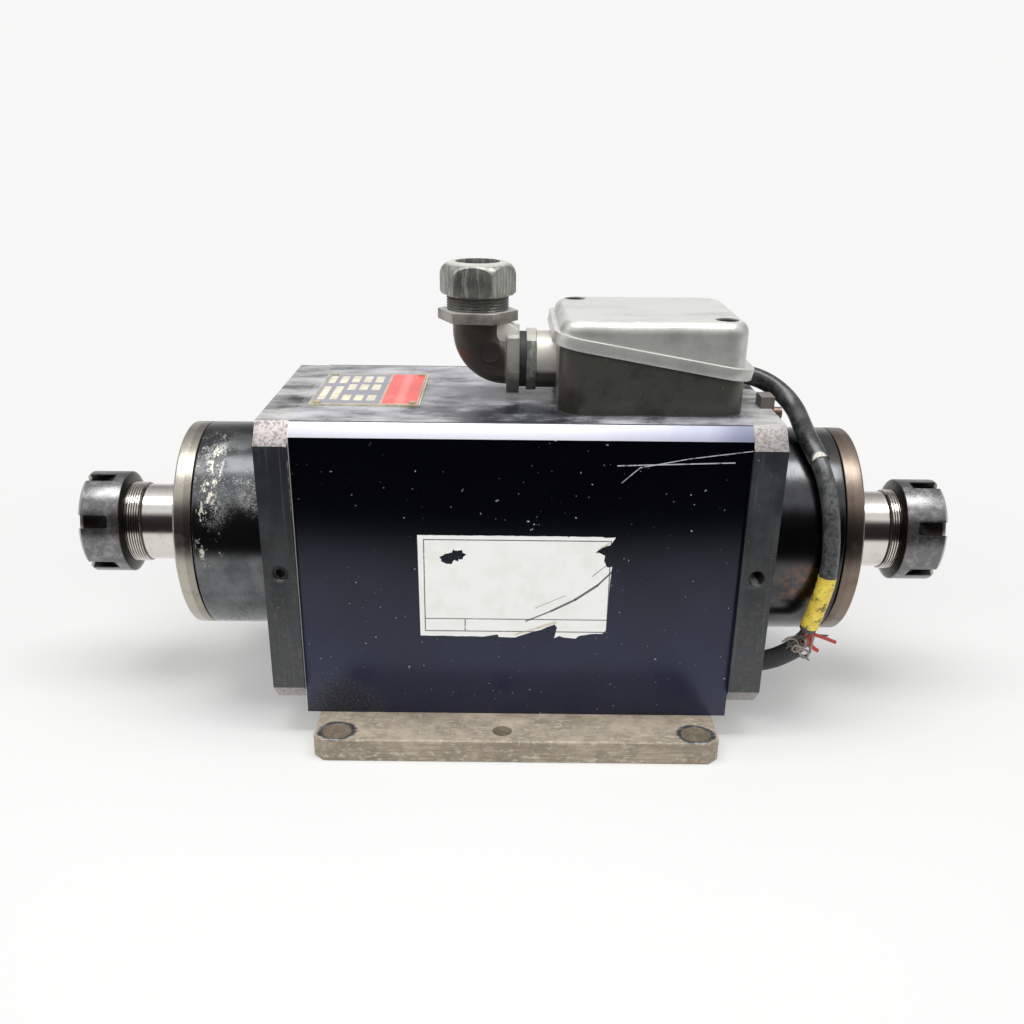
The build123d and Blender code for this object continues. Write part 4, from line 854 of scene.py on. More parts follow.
@dataclass(frozen=True)
class GlossCover(Finish):
    """The near-black gloss of a jacket cover, with a painted reflection on its bevel, specks and scratches."""

    deep: Colour = (0.0006, 0.0008, 0.0022)
    foot: Colour = (0.016, 0.018, 0.043)
    bevel: Colour = (0.485, 0.485, 0.53)
    gleam: Colour = (0.75, 0.82, 1.0)
    foot_height: Span = (10, 140)
    scraped: tuple[Line, ...] = (
        ((53, 169.1), (116.4, 171.4), 0.42), ((55.8, 159.5), (65.1, 168.1), 0.34),
        ((65.1, 168.1), (91.8, 173.4), 0.34), ((91.8, 173.4), (126, 178), 0.34),
    )
    left_corner: Point = (-105, -82.5, 12)
    right_corner: Point = (122, -82.5, 16)
    left_edge: Span = (0.1253, 0.1256)  # metres from the middle, where the cut edge is bare
    # where the bevel's painted reflection dims, and where it dims further, in millimetres of X
    bevel_fade: Span = (0, 110)
    bevel_end: Span = (98, 122)

    def wire(self, g: Graph) -> bpy.types.Material:
        """Wire the gloss up.

        Args:
            g: The material's graph.

        Returns:
            The finished material.
        """
        cloud, fine = g.noise(46, 5, 0.6), g.noise(0.8, 3, 0.6)
        climb = g.ease(g.z * IN_MM + (cloud - 0.5) * 70, *self.foot_height)
        colour = g.mix(climb, self.foot, self.deep)
        speck = g.ease(g.noise(1.7, 1, 0.4), 0.79, 0.81)
        colour = g.mix(speck * 0.7, colour, (0.55, 0.56, 0.6))
        rub = g.ease(g.noise(1.1, 4, 0.7), 0.50, 0.62)
        corner = g.near(self.left_corner, 24, 20) + g.near(self.right_corner, 16, 14) * 0.4
        corner = g.ease(corner * 0.9 + g.noise(14, 5, 0.7) * 0.5, 0.45, 1.0)
        colour = g.mix(rub * corner * 0.4, colour, (0.30, 0.28, 0.20))
        colour = g.mix(corner * 0.5, colour, (0.014, 0.014, 0.012))
        lines = reduce(g.high, [g.scratch(*line) for line in self.scraped])
        lines = lines * g.ease(g.noise(3, 4, 0.7), 0.32, 0.5) * g.ease(0.0 - g.ny, 0.9, 0.98)
        colour = g.mix(lines * 0.6, colour, (0.75, 0.75, 0.78))
        # painted reflection: the bevel's sloped faces are painted a bright bluish grey that dims and turns bluer
        # towards the right end
        slope = g.ease(g.nz, 0.45, 0.6) * g.fall(g.nz, 0.8, 0.9)
        faded = g.ease(g.x * IN_MM + (cloud - 0.5) * 90, *self.bevel_fade)
        shade = g.mix(faded, self.bevel, (0.30, 0.31, 0.385))
        shade = g.mix(g.ease(g.x * IN_MM, *self.bevel_end), shade, (0.155, 0.165, 0.23))
        colour = g.mix(slope, colour, shade)
        colour = g.mix(g.ease(0.0 - g.x, *self.left_edge) * 0.8, colour, (0.62, 0.62, 0.60))
        rough = 0.17 + (cloud - 0.5) * 0.12 + corner * 0.3 + (1 - climb) * 0.12 + slope * 0.2 + lines * 0.2
        normal = g.bump(fine * 0.5 + cloud, 0.015)
        return g.finish(
            Base_Color=colour, Roughness=rough, Metallic=slope * 0.3, Normal=normal, Specular_Tint=self.gleam
        )


@dataclass(frozen=True)
class PlainCoat(Finish):
    """A plain coat, rubber, resin or bare metal with fine grain and faint blotches."""

    tone: Colour
    second: Colour
    rough: float = 0.5
    metallic: float = 0.0
    grain: float = 1.2
    depth: float = 0.05
    streak: Point = (1, 1, 1)

    def wire(self, g: Graph) -> bpy.types.Material:
        """Wire the coat up.

        Args:
            g: The material's graph.

        Returns:
            The finished material.
        """
        cloud, fine = g.noise(12, 5, 0.6), g.noise(self.grain, 4, 0.65, g.stretch(self.streak))
        colour = g.mix(g.ease(cloud * 0.5 + fine * 0.5, 0.4, 0.62), self.tone, self.second)
        rough = self.rough + (fine - 0.5) * 0.25
        normal = g.bump(fine, self.depth)
        return g.finish(Base_Color=colour, Roughness=rough, Metallic=self.metallic, Normal=normal)


@dataclass(frozen=True)
class LeadSleeve(Finish):
    """A heat-shrunk sleeve, scuffed grey, torn to its pale lining at one end."""

    tear: Point = (173.2, -46.6, 164.0)

    def wire(self, g: Graph) -> bpy.types.Material:
        """Wire the sleeve up.

        Args:
            g: The material's graph.

        Returns:
            The finished material.
        """
        cloud, fine = g.noise(11, 5, 0.65), g.noise(1.1, 4, 0.7)
        colour = g.mix(g.ease(cloud, 0.42, 0.68), (0.020, 0.021, 0.021), (0.066, 0.068, 0.067))
        colour = g.mix(g.ease(g.noise(2.4, 6, 0.8), 0.60, 0.68) * 0.5, colour, (0.22, 0.21, 0.19))
        ragged = g.near(self.tear, 4.6, 1.0) * g.ease(g.noise(2.0, 4, 0.7), 0.36, 0.44)
        colour = g.mix(ragged, colour, (0.72, 0.69, 0.60))
        rough = 0.27 + (cloud - 0.5) * 0.25 + ragged * 0.4
        return g.finish(Base_Color=colour, Roughness=rough, Normal=g.bump(cloud + fine * 0.3, 0.08))


@dataclass(frozen=True)
class MarkerTape(Finish):
    """Yellow marker tape with black smudges and rubbed places."""

    tone: Colour = (0.84, 0.66, 0.09)

    def wire(self, g: Graph) -> bpy.types.Material:
        """Wire the tape up.

        Args:
            g: The material's graph.

        Returns:
            The finished material.
        """
        cloud, fine = g.noise(7, 5, 0.65), g.noise(1.2, 4, 0.7)
        colour = g.mix(g.ease(cloud, 0.4, 0.66), self.tone, (0.66, 0.47, 0.06))
        smudge = g.ease(g.noise(4.2, 7, 0.8), 0.535, 0.60)
        colour = g.mix(smudge * 0.85, colour, (0.035, 0.028, 0.012))
        colour = g.mix(g.ease(fine, 0.62, 0.70) * 0.6, colour, (0.10, 0.08, 0.03))
        rough = 0.42 + (fine - 0.5) * 0.3
        return g.finish(Base_Color=colour, Roughness=rough, Normal=g.bump(fine + cloud, 0.15))


@dataclass(frozen=True)
class BlankSticker(Finish):
    """A white film label left bare: a printed border, yellowing, scuffs and dirt along its tears."""

    x: Span = (-56.5, 54.8)
    z: Span = (66.0, 128.4)
    inset: float = 3.0
    rule_z: float = 76.8
    cell_x: float = -30.4
    scuffs: tuple[Line, ...] = (
        ((22.0, 75.0), (12.0, 71.5), 1.3), ((12.0, 71.5), (-1.0, 67.0), 0.9),
        ((45.0, 120.5), (50.5, 124.0), 1.0),
    )
    tears: tuple[Line, ...] = (
        ((53.6, 107.5), (45.3, 98.6), 0.75), ((45.3, 98.6), (33.0, 89.6), 1.0),
        ((33.0, 89.6), (19.4, 82.3), 0.9), ((19.4, 82.3), (4.8, 75.7), 0.6),
        ((50.0, 111.0), (42.0, 104.0), 0.3), ((44.0, 118.5), (49.5, 122.5), 0.5),
        ((27.0, 92.0), (10.0, 84.0), 0.2),
    )

    def wire(self, g: Graph) -> bpy.types.Material:
        """Wire the film up.

        Args:
            g: The material's graph.

        Returns:
            The finished material.
        """
        cloud, fine = g.noise(16, 6, 0.65), g.noise(1.2, 4, 0.7)
        colour = g.mix(g.ease(cloud, 0.42, 0.7) * 0.5, (0.84, 0.845, 0.82), (0.73, 0.72, 0.66))
        px, pz = g.x * IN_MM, g.z * IN_MM
        border = g.border(self.x, self.z, (px, pz))
        framed = g.ease(border, self.inset - 0.2, self.inset + 0.2)
        line = g.fall(g.size_of(border - self.inset), 0.22, 0.42)
        rule = g.fall(g.size_of(pz - self.rule_z), 0.2, 0.4) * framed
        cell = g.fall(g.size_of(px - self.cell_x), 0.2, 0.4) * framed
        cell = cell * g.fall(pz, self.rule_z - 0.2, self.rule_z + 0.2)
        ink = g.high(line, g.high(rule, cell)) * g.ease(fine, 0.3, 0.42)
        colour = g.mix(ink * 0.9, colour, (0.03, 0.03, 0.035))
        dirt = g.ease(g.noise(2.3, 5, 0.75), 0.64, 0.72) * g.ease(g.noise(24, 3, 0.5), 0.46, 0.6)
        colour = g.mix(dirt * 0.7, colour, (0.12, 0.11, 0.10))
        colour = g.scratches(self.scuffs, colour, (0.50, 0.44, 0.28), 0.6)
        colour = g.scratches(self.tears, colour, (0.02, 0.02, 0.026), 0.9)
        rough = 0.34 + (cloud - 0.5) * 0.3
        return g.finish(Base_Color=colour, Roughness=rough, Normal=g.bump(cloud + fine * 0.2, 0.03))


@dataclass(frozen=True)
class BlankRatingPlate(Finish):
    """An etched plate left bare: a red field, empty printed boxes, and tarnish."""

    x: Span = (-121.3, -57.3)
    y: Span = (-39.7, 44.3)
    boxed: Area = ((-119.6, -36.5), (-81.0, 41.6), 0.2)
    red: Area = ((-79.8, -36.5), (-59.3, 42.4), 0.2)
    shine: Area = ((-72.0, -36.5), (-67.0, 42.4), 1.5)
    narrow: tuple[Span, ...] = ((-118.2, -114.0), (-111.2, -106.6))
    narrow_rows: tuple[Span, ...] = ((-27, 7), (16, 36))
    wide: tuple[Span, ...] = ((-104.0, -99.2), (-96.8, -91.8), (-89.4, -84.4))
    wide_rows: tuple[Span, ...] = ((-29, -15), (-2, 13), (19, 36))

    def wire(self, g: Graph) -> bpy.types.Material:
        """Wire the etched plate up.

        Args:
            g: The material's graph.

        Returns:
            The finished material.
        """
        cloud, fine = g.noise(9, 6, 0.7), g.noise(0.8, 4, 0.7)
        edge = g.border(self.x, self.y, (g.x * IN_MM, g.y * IN_MM))
        colour = g.mix(g.ease(cloud, 0.4, 0.68), (0.74, 0.70, 0.55), (0.52, 0.46, 0.30))
        across = (g.x, g.y)
        boxed = g.patch(across, *self.boxed)
        colour = g.mix(boxed, colour, (0.27, 0.265, 0.31))
        narrow = g.bands(g.x, self.narrow) * g.bands(g.y, self.narrow_rows)
        wide = g.bands(g.x, self.wide) * g.bands(g.y, self.wide_rows)
        printed = g.mix(g.ease(cloud, 0.4, 0.6), (0.78, 0.73, 0.55), (0.60, 0.56, 0.44))
        colour = g.mix(narrow + wide, colour, printed)
        red = g.patch(across, *self.red)
        colour = g.mix(red, colour, g.mix(g.ease(cloud, 0.45, 0.7), (0.84, 0.10, 0.09), (0.70, 0.20, 0.18)))
        shine = g.patch(across, *self.shine) * 0.45
        colour = g.mix(red * shine, colour, (0.90, 0.36, 0.33))
        ink = g.fall(g.size_of(edge - 1.2), 0.15, 0.35)
        colour = g.mix(ink * 0.7, colour, (0.10, 0.085, 0.05))
        grime = g.ease(g.noise(4, 6, 0.75), 0.58, 0.72) * 0.4
        colour = g.mix(grime, colour, (0.20, 0.16, 0.10))
        rough = 0.30 + (cloud - 0.5) * 0.3 + grime * 0.2
        metallic = (1 - g.high(boxed, red)) * 0.5
        return g.finish(Base_Color=colour, Roughness=rough, Metallic=metallic, Normal=g.bump(fine, 0.02))


@dataclass(frozen=True)
class BraidWeave(Finish):
    """A woven sleeve, drawn on the tube's own map."""

    around: float = 16.0
    along: float = 26.0

    def wire(self, g: Graph) -> bpy.types.Material:
        """Wire the weave up.

        Args:
            g: The material's graph.

        Returns:
            The finished material.
        """
        u, v, _ = g.axes(g.map)
        one = g.math("SINE", (u * self.along + v * self.around) * math.tau)
        two = g.math("SINE", (u * self.along - v * self.around) * math.tau)
        weave = g.high(one, two)
        fine = g.noise(0.7, 4, 0.7)
        colour = g.mix(g.ease(weave, 0.1, 0.9), (0.012, 0.012, 0.013), (0.10, 0.10, 0.10))
        colour = g.mix(g.ease(fine, 0.55, 0.7) * 0.4, colour, (0.20, 0.18, 0.15))
        return g.finish(Base_Color=colour, Roughness=0.62, Normal=g.bump(weave + fine * 0.3, 0.35))


# --- mesh tools ----------------------------------------------------------------------
class Bench:
    """Hand tools for one piece at a time."""

    @staticmethod
    def clear() -> None:
        """Leave edit mode and deselect everything."""
        if bpy.context.mode != "OBJECT":
            bpy.ops.object.mode_set(mode="OBJECT")
        bpy.ops.object.select_all(action="DESELECT")

    @staticmethod
    def hold(*pieces: bpy.types.Object) -> None:
        """Make some pieces the only selected ones.

        Args:
            pieces: The pieces; the first one becomes active.
        """
        Bench.clear()
        for piece in pieces:
            piece.select_set(True)
        bpy.context.view_layer.objects.active = pieces[0]

    @staticmethod
    def edit(piece: bpy.types.Object) -> None:
        """Open a piece in edit mode with all of it selected.

        Args:
            piece: The piece to open.
        """
        Bench.hold(piece)
        bpy.ops.object.mode_set(mode="EDIT")
        bpy.ops.mesh.select_all(action="SELECT")

    @staticmethod
    def add(name: str, data: bpy.types.ID) -> bpy.types.Object:
        """Add an object that shows some data.

        Args:
            name: The new object's name.
            data: Its mesh, curve, lamp or camera.

        Returns:
            The new object, in the scene.
        """
        made = bpy.data.objects.new(name, data)
        bpy.context.scene.collection.objects.link(made)
        return made

    @staticmethod
    def settle() -> bpy.types.Object:
        """Move the active piece's place into its mesh and return the piece."""
        bpy.ops.object.transform_apply(location=True, rotation=True, scale=True)
        return bpy.context.object

    @staticmethod
    def trace(name: str, points: list[Point]) -> bpy.types.Object:
        """Draw a closed line of edges through points by extruding one vertex.

        Args:
            name: The new piece's name.
            points: The corners, in metres.

        Returns:
            The new piece, a ring of edges.
        """
        Bench.clear()
        bpy.ops.mesh.primitive_plane_add(size=MM, location=points[0])
        piece = Bench.settle()
        piece.name = name
        Bench.edit(piece)
        bpy.ops.mesh.merge(type="CENTER")
        stops = [*points, points[0]]
        for before, here in zip(stops, stops[1:]):
            step = Vector(here) - Vector(before)
            bpy.ops.mesh.extrude_region_move(TRANSFORM_OT_translate={"value": step})
        bpy.ops.mesh.select_all(action="SELECT")
        bpy.ops.mesh.remove_doubles(threshold=MERGE)
        bpy.ops.object.mode_set(mode="OBJECT")
        return piece

    @staticmethod
    def slab(name: str, outline: list[Point], depth: Point) -> bpy.types.Object:
        """Fill a closed outline and extrude it.

        Args:
            name: The new piece's name.
            outline: The corners, in metres.
            depth: How far it is extruded along each axis, in metres.

        Returns:
            The new piece, a closed solid.
        """
        piece = Bench.trace(name, outline)
        Bench.edit(piece)
        bpy.ops.mesh.edge_face_add()
        bpy.ops.mesh.extrude_region_move(TRANSFORM_OT_translate={"value": depth})
        return Bench.heal(piece)

    @staticmethod
    def heal(piece: bpy.types.Object) -> bpy.types.Object:
        """Merge doubles and turn every face outwards.

        Args:
            piece: The piece to heal.

        Returns:
            The same piece, out of edit mode.
        """
        if bpy.context.mode != "EDIT_MESH":
            Bench.edit(piece)
        bpy.ops.mesh.select_all(action="SELECT")
        bpy.ops.mesh.remove_doubles(threshold=2 * MERGE)
        bpy.ops.mesh.normals_make_consistent(inside=False)
        bpy.ops.object.mode_set(mode="OBJECT")
        return piece

    @staticmethod
    def modify(piece: bpy.types.Object, kind: str, **settings: object) -> None:
        """Add one modifier and apply it.

        Args:
            piece: The piece to modify.
            kind: The modifier's type.
            settings: The modifier's own properties.
        """
        Bench.hold(piece)
        made = piece.modifiers.new(kind.title(), kind)
        for key, value in settings.items():
            setattr(made, key, value)
        bpy.ops.object.modifier_apply(modifier=made.name)

    @staticmethod
    def carve(piece: bpy.types.Object, tool: bpy.types.Object) -> None:
        """Cut one piece's shape out of another and put the tool away."""
        Bench.modify(piece, "BOOLEAN", operation="DIFFERENCE", object=tool, solver="EXACT")
        bpy.data.objects.remove(tool)

    @staticmethod
    def soften(piece: bpy.types.Object, width: float, angle: float = 32) -> bpy.types.Object:
        """Round the sharp edges and shade the rest smooth.

        Args:
            piece: The piece to soften.
            width: The rounding's width, in millimetres.
            angle: The least angle that counts as a sharp edge, in degrees.

        Returns:
            The same piece.
        """
        Bench.modify(
            piece, "BEVEL", width=width * MM, segments=2, limit_method="ANGLE",
            angle_limit=math.radians(angle), use_clamp_overlap=True, harden_normals=False,
            miter_outer="MITER_ARC",
        )
        return Bench.smooth(piece)

    @staticmethod
    def smooth(piece: bpy.types.Object, angle: float = 30) -> bpy.types.Object:
        """Shade smooth wherever faces meet at less than an angle.

        Args:
            piece: The piece to shade.
            angle: The angle, in degrees.

        Returns:
            The same piece.
        """
        Bench.hold(piece)
        bpy.ops.object.shade_smooth_by_angle(angle=math.radians(angle))
        return piece

    @staticmethod
    def replica(node: str, name: str) -> bpy.types.Object:
        """Copy a node's mesh and merge its loose triangles.

        Args:
            node: The CAD node to copy.
            name: The new piece's name.

        Returns:
            The new piece, with flat faces made whole again.
        """
        piece = Bench.add(name, frame["nodes"][node].data.copy())
        piece.data.materials.clear()
        Bench.hold(piece)
        bpy.ops.mesh.customdata_custom_splitnormals_clear()
        Bench.edit(piece)
        bpy.ops.mesh.remove_doubles(threshold=MERGE)
        bpy.ops.mesh.dissolve_limited(angle_limit=math.radians(FLAT))
        return Bench.heal(piece)

    @staticmethod
    def coat(piece: bpy.types.Object, finish: bpy.types.Material) -> None:
        """Give a piece one material all over."""
        piece.data.materials.clear()
        piece.data.materials.append(finish)

    @staticmethod
    def dress(
        piece: bpy.types.Object, finish: bpy.types.Material, body: str, slot: str, *nodes: str
    ) -> bpy.types.Object:
        """Give a piece its finish and body, and name what it stands for.

        Args:
            piece: The finished piece.
            finish: Its material.
            body: The body that it rides on.
            slot: The record's material slot.
            nodes: The nodes that it replaces.

        Returns:
            The same piece.
        """
        Bench.coat(piece, finish)
        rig.ride(piece, body)
        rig.slot(piece, slot)
        if nodes:
            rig.replaces(piece, *nodes)
        LOG.info("%s on %s", piece.name, body)
        return piece


# --- sub-assemblies ------------------------------------------------------------------
class Side(Enum):
    """The two ends of the spindle, as the sign of X."""

    LEFT = -1
    RIGHT = 1

    @property
    def word(self) -> str:
        """Return the end's name in node names."""
        return self.name.lower()


@dataclass
class Nose:
    """One end of the spindle: its thread and its nut."""

    side: Side
    face: float
    release: float
    crest: float = 25.0
    depth: float = 0.85
    pitch: float = 1.5
    turns: int = 14
    steps: int = 64
    run_in: float = 22.2
    half_width: float = 0.44
    cutter_rise: float = 0.2
    nut_front: float = 11.0
    nut_edge: float = 0.45

    def thread(self, shaft: bpy.types.Object) -> None:
        """Cut the helical thread into the shaft's nose.

        Args:
            shaft: The shaft to cut.
        """
        sign = self.side.value
        start, half = self.face - self.run_in, self.pitch * self.half_width
        rise = self.crest + self.cutter_rise
        outline = [
            mm(sign * (start - half), 0, rise), mm(sign * start, 0, self.crest - self.depth),
            mm(sign * (start + half), 0, rise),
        ]
        cutter = Bench.trace(f"{self.side.word}_thread_cutter", outline)
        Bench.modify(
            cutter, "SCREW", axis="X", angle=math.tau, steps=self.steps, render_steps=self.steps,
            iterations=self.turns, screw_offset=sign * self.pitch * MM, use_smooth_shade=False,
        )
        Bench.edit(cutter)
        bpy.ops.mesh.fill_holes(sides=4)
        bpy.ops.transform.translate(value=(0, 0, AXIS_Z))
        Bench.carve(shaft, Bench.heal(cutter))

    def nut(self) -> bpy.types.Object:
        """Soften and finish the collet nut.

        Returns:
            The dressed nut.
        """
        node, word = f"{self.side.word}_collet_nut", self.side.word
        piece = Bench.soften(Bench.replica(node, f"{word}_nut_dressed"), self.nut_edge, 40)
        finish = ForgedNut(f"{word}_nut_steel", self.face + self.release + self.nut_front).material()
        return Bench.dress(piece, finish, f"{word}_nut", "dark_steel", node)


@dataclass
class Casework:
    """End plates, covers, base, housings and rings that get softened edges."""

    plate_edge: float = 0.45
    base_edge: float = 0.7
    round_edge: float = 0.3
    cover_edge: float = 0.25

    def soften_node(
        self, node: str, finish: bpy.types.Material, slot: str, width: float,
        body: str = "motor", angle: float = 32,
    ) -> None:
        """Replace a node by a copy with softened edges.

        Args:
            node: The node to replace.
            finish: The copy's material.
            slot: The record's material slot.
            width: The rounding's width, in millimetres.
            body: The body that it rides on.
            angle: The least angle that counts as a sharp edge, in degrees.
        """
        piece = Bench.soften(Bench.replica(node, f"{node}_dressed"), width, angle)
        Bench.dress(piece, finish, body, slot, node)

    def plates(self) -> None:
        """Dress the end plates, whose paint chips along their own edges."""
        bare = {Side.LEFT: (0.395, 0.36, 0.35), Side.RIGHT: (0.275, 0.26, 0.25)}
        for side in Side:
            node = f"{side.word}_end_plate"
            centre, half = middle_and_half(node)
            paint = WornPaint(
                f"{side.word}_plate_paint", centre=centre, half=half, bare=bare[side], bare_slopes=0.9,
                dust_on_top=1.0, paint=(0.014, 0.015, 0.017), haze=(0.047, 0.052, 0.056),
                dust=(0.46, 0.455, 0.45),
            )
            self.soften_node(node, paint.material(), "black_paint", self.plate_edge)

    def round_parts(self) -> None:
        """Dress the bearing housings and the rings on them."""
        left_ring = TurnedSteel(
            "left_ring_steel", tone=(0.36, 0.33, 0.285), stain=(0.20, 0.165, 0.125),
            stained=0.7, lip=1.0,
        )
        right_ring = TurnedSteel(
            "right_ring_steel", tone=(0.20, 0.158, 0.128), stain=(0.10, 0.078, 0.063),
            stained=0.7, rough=0.32, lip=0.5,
        )
        dull = BlackenedHousing("right_housing_black", tone=(0.085, 0.087, 0.09), flaked=0.0, rough=0.22)
        for node, finish, slot in (
            ("left_bearing_housing", BlackenedHousing("left_housing_black"), "black_paint"),
            ("right_bearing_housing", dull, "black_paint"),
            ("left_end_ring", left_ring, "ring_bare"),
            ("right_end_ring", right_ring, "ring_bare"),
        ):
            self.soften_node(node, finish.material(), slot, self.round_edge)

    def build(self) -> None:
        """Dress the outer pieces."""
        self.plates()
        self.round_parts()
        self.soften_node("base_plate", CorrodedPlate("base_crust").material(), "base_metal", self.base_edge)
        body = WornPaint(
            "body_paint", paint=(0.018, 0.019, 0.024), haze=(0.10, 0.105, 0.115), dust=(0.60, 0.60, 0.63),
            centre=(0, 0, 102), half=(126, 82.5, 88), edge_wear=0.35, dust_on_top=0.8, roughness=0.2,
            shiny=(-2, -52, 190),
        )
        Bench.coat(frame["nodes"]["motor_body"], body.material())
        cover = GlossCover("cover_gloss").material()
        for node in ("front_cover", "rear_cover"):
            self.soften_node(node, cover, "navy_paint", self.cover_edge)


@dataclass
class TerminalBox:
    """The cast box, its lid and the angled gland."""

    centre: Span = (-25.0, -5.0)
    thread_bottom: float = 239.5
    thread_pitch: float = 1.5
    thread_turns: int = 5
    thread_root: float = 17.45
    thread_crest: float = 18.1
    thread_steps: int = 64
    web_width: float = 19.0
    web_reach: Span = (11.0, 24.0)
    web_slope: float = 18.5
    web_heights: Point = (222.1, 228.5, 233.2)
    web_edge: float = 0.9
    boss_radius: float = 6.3
    boss_length: float = 4.0
    boss_place: Point = (7.5, -13.6, 217.5)
    boss_lip: float = 1.0
    boss_hollow: float = 0.5
    boss_edge: float = 0.25

    def build(self) -> None:
        """Dress the box, lid and gland pieces."""
        # painted shade: the box body takes a far darker copy of the lid's cast aluminium, standing in for the shade
        # under the lid's rim and the dark that it reflects
        low = CastAluminium(
            "box_casting", tone=(0.085, 0.083, 0.071), dark=(0.042, 0.040, 0.032), metallic=0.45,
            boss_end=21.0,
        )
        lid = CastAluminium(
            "lid_casting", tone=(0.66, 0.655, 0.62), dark=(0.47, 0.465, 0.435), rough=0.36, metallic=0.66,
            recesses=((112.5, -44.5), (33.5, 30.5)), top_tone=(0.62, 0.615, 0.59),
        )
        gland = CastAluminium(
            "gland_casting", tone=(0.29, 0.295, 0.265), dark=(0.13, 0.135, 0.118), grain=1.6, rough=0.34,
            metallic=0.6, streaked=0.5, top_tone=(0.60, 0.60, 0.54),
        ).material()
        elbow = CastAluminium(
            "elbow_casting", tone=(0.32, 0.315, 0.275), dark=(0.15, 0.145, 0.125), grain=1.6, rough=0.36,
            metallic=0.5, bend_tone=(0.040, 0.035, 0.027), top_tone=(0.55, 0.55, 0.50),
        ).material()
        case = Casework()
        case.soften_node("terminal_box", low.material(), "cast_alu", 0.5)
        case.soften_node("box_lid", lid.material(), "cast_alu", 1.1, angle=50)
        case.soften_node("gland_elbow", elbow, "gland_metal", 0.5, angle=40)
        case.soften_node("gland_nut", gland, "gland_metal", 0.6, "gland_nut", 25)
        case.soften_node("elbow_locknut", gland, "gland_metal", 0.7)
        dull = CastAluminium("gland_thread_metal", tone=(0.16, 0.16, 0.145), dark=(0.08, 0.08, 0.07))
        self.thread(dull.material())
        # painted light: the web takes a much brighter copy of the elbow's casting, standing in for the strong light on
        # its face
        lit_casting = CastAluminium(
            "web_casting", tone=(0.70, 0.69, 0.62), dark=(0.50, 0.49, 0.43), grain=1.6, metallic=0.25
        )
        for piece, finish in ((self.web(), lit_casting.material()), (self.boss(), elbow)):
            Bench.dress(piece, finish, "motor", "gland_metal")

    def web(self) -> bpy.types.Object:
        """Cast the web in the elbow's inner corner.

        Returns:
            The web.
        """
        near, far = (self.centre[0] + reach for reach in self.web_reach)
        slope, y = self.centre[0] + self.web_slope, self.centre[1] - self.web_width / 2
        low, shoulder, high = self.web_heights
        corners = ((near, low), (far, low), (far, shoulder), (slope, high), (near, high))
        web = Bench.slab("elbow_web", [mm(x, y, z) for x, z in corners], (0, self.web_width * MM, 0))
        return Bench.soften(web, self.web_edge)

    def boss(self) -> bpy.types.Object:
        """Turn the bare round boss on the elbow's side, with its shallow hollow.

        Returns:
            The boss.
        """
        x, y = self.centre
        place = mm(x + self.boss_place[0], y + self.boss_place[1], self.boss_place[2])
        Bench.clear()
        bpy.ops.mesh.primitive_cylinder_add(
            vertices=64, radius=self.boss_radius * MM, depth=self.boss_length * MM, location=place,
            rotation=(math.pi / 2, 0, 0),
        )
        boss = Bench.settle()
        boss.name = "elbow_boss"
        Bench.edit(boss)
        bpy.ops.mesh.select_all(action="DESELECT")
        bpy.ops.object.mode_set(mode="OBJECT")
        for face in boss.data.polygons:
            face.select = face.normal.y < -0.9
        bpy.ops.object.mode_set(mode="EDIT")
        bpy.ops.mesh.inset(thickness=self.boss_lip * MM)
        bpy.ops.mesh.extrude_region_move(TRANSFORM_OT_translate={"value": (0, self.boss_hollow * MM, 0)})
        return Bench.soften(Bench.heal(boss), self.boss_edge)

    def thread(self, finish: bpy.types.Material) -> None:
        """Cut the thread that shows under the gland nut.

        Args:
            finish: The thread's material.
        """
        x, y = self.centre
        z, pitch = self.thread_bottom, self.thread_pitch
        outline = [
            mm(x + self.thread_root, y, z), mm(x + self.thread_crest, y, z + pitch / 2),
            mm(x + self.thread_root, y, z + pitch),
        ]
        piece = Bench.trace("gland_thread", outline)
        Bench.edit(piece)
        bpy.ops.mesh.spin(steps=self.thread_steps, angle=math.tau, center=mm(x, y, z), axis=(0, 0, 1))
        Bench.heal(piece)
        Bench.modify(
            piece, "ARRAY", count=self.thread_turns, use_relative_offset=False, use_constant_offset=True,
            constant_offset_displace=(0, 0, pitch * MM),
        )
        Bench.dress(Bench.smooth(piece, 40), finish, "motor", "gland_metal")


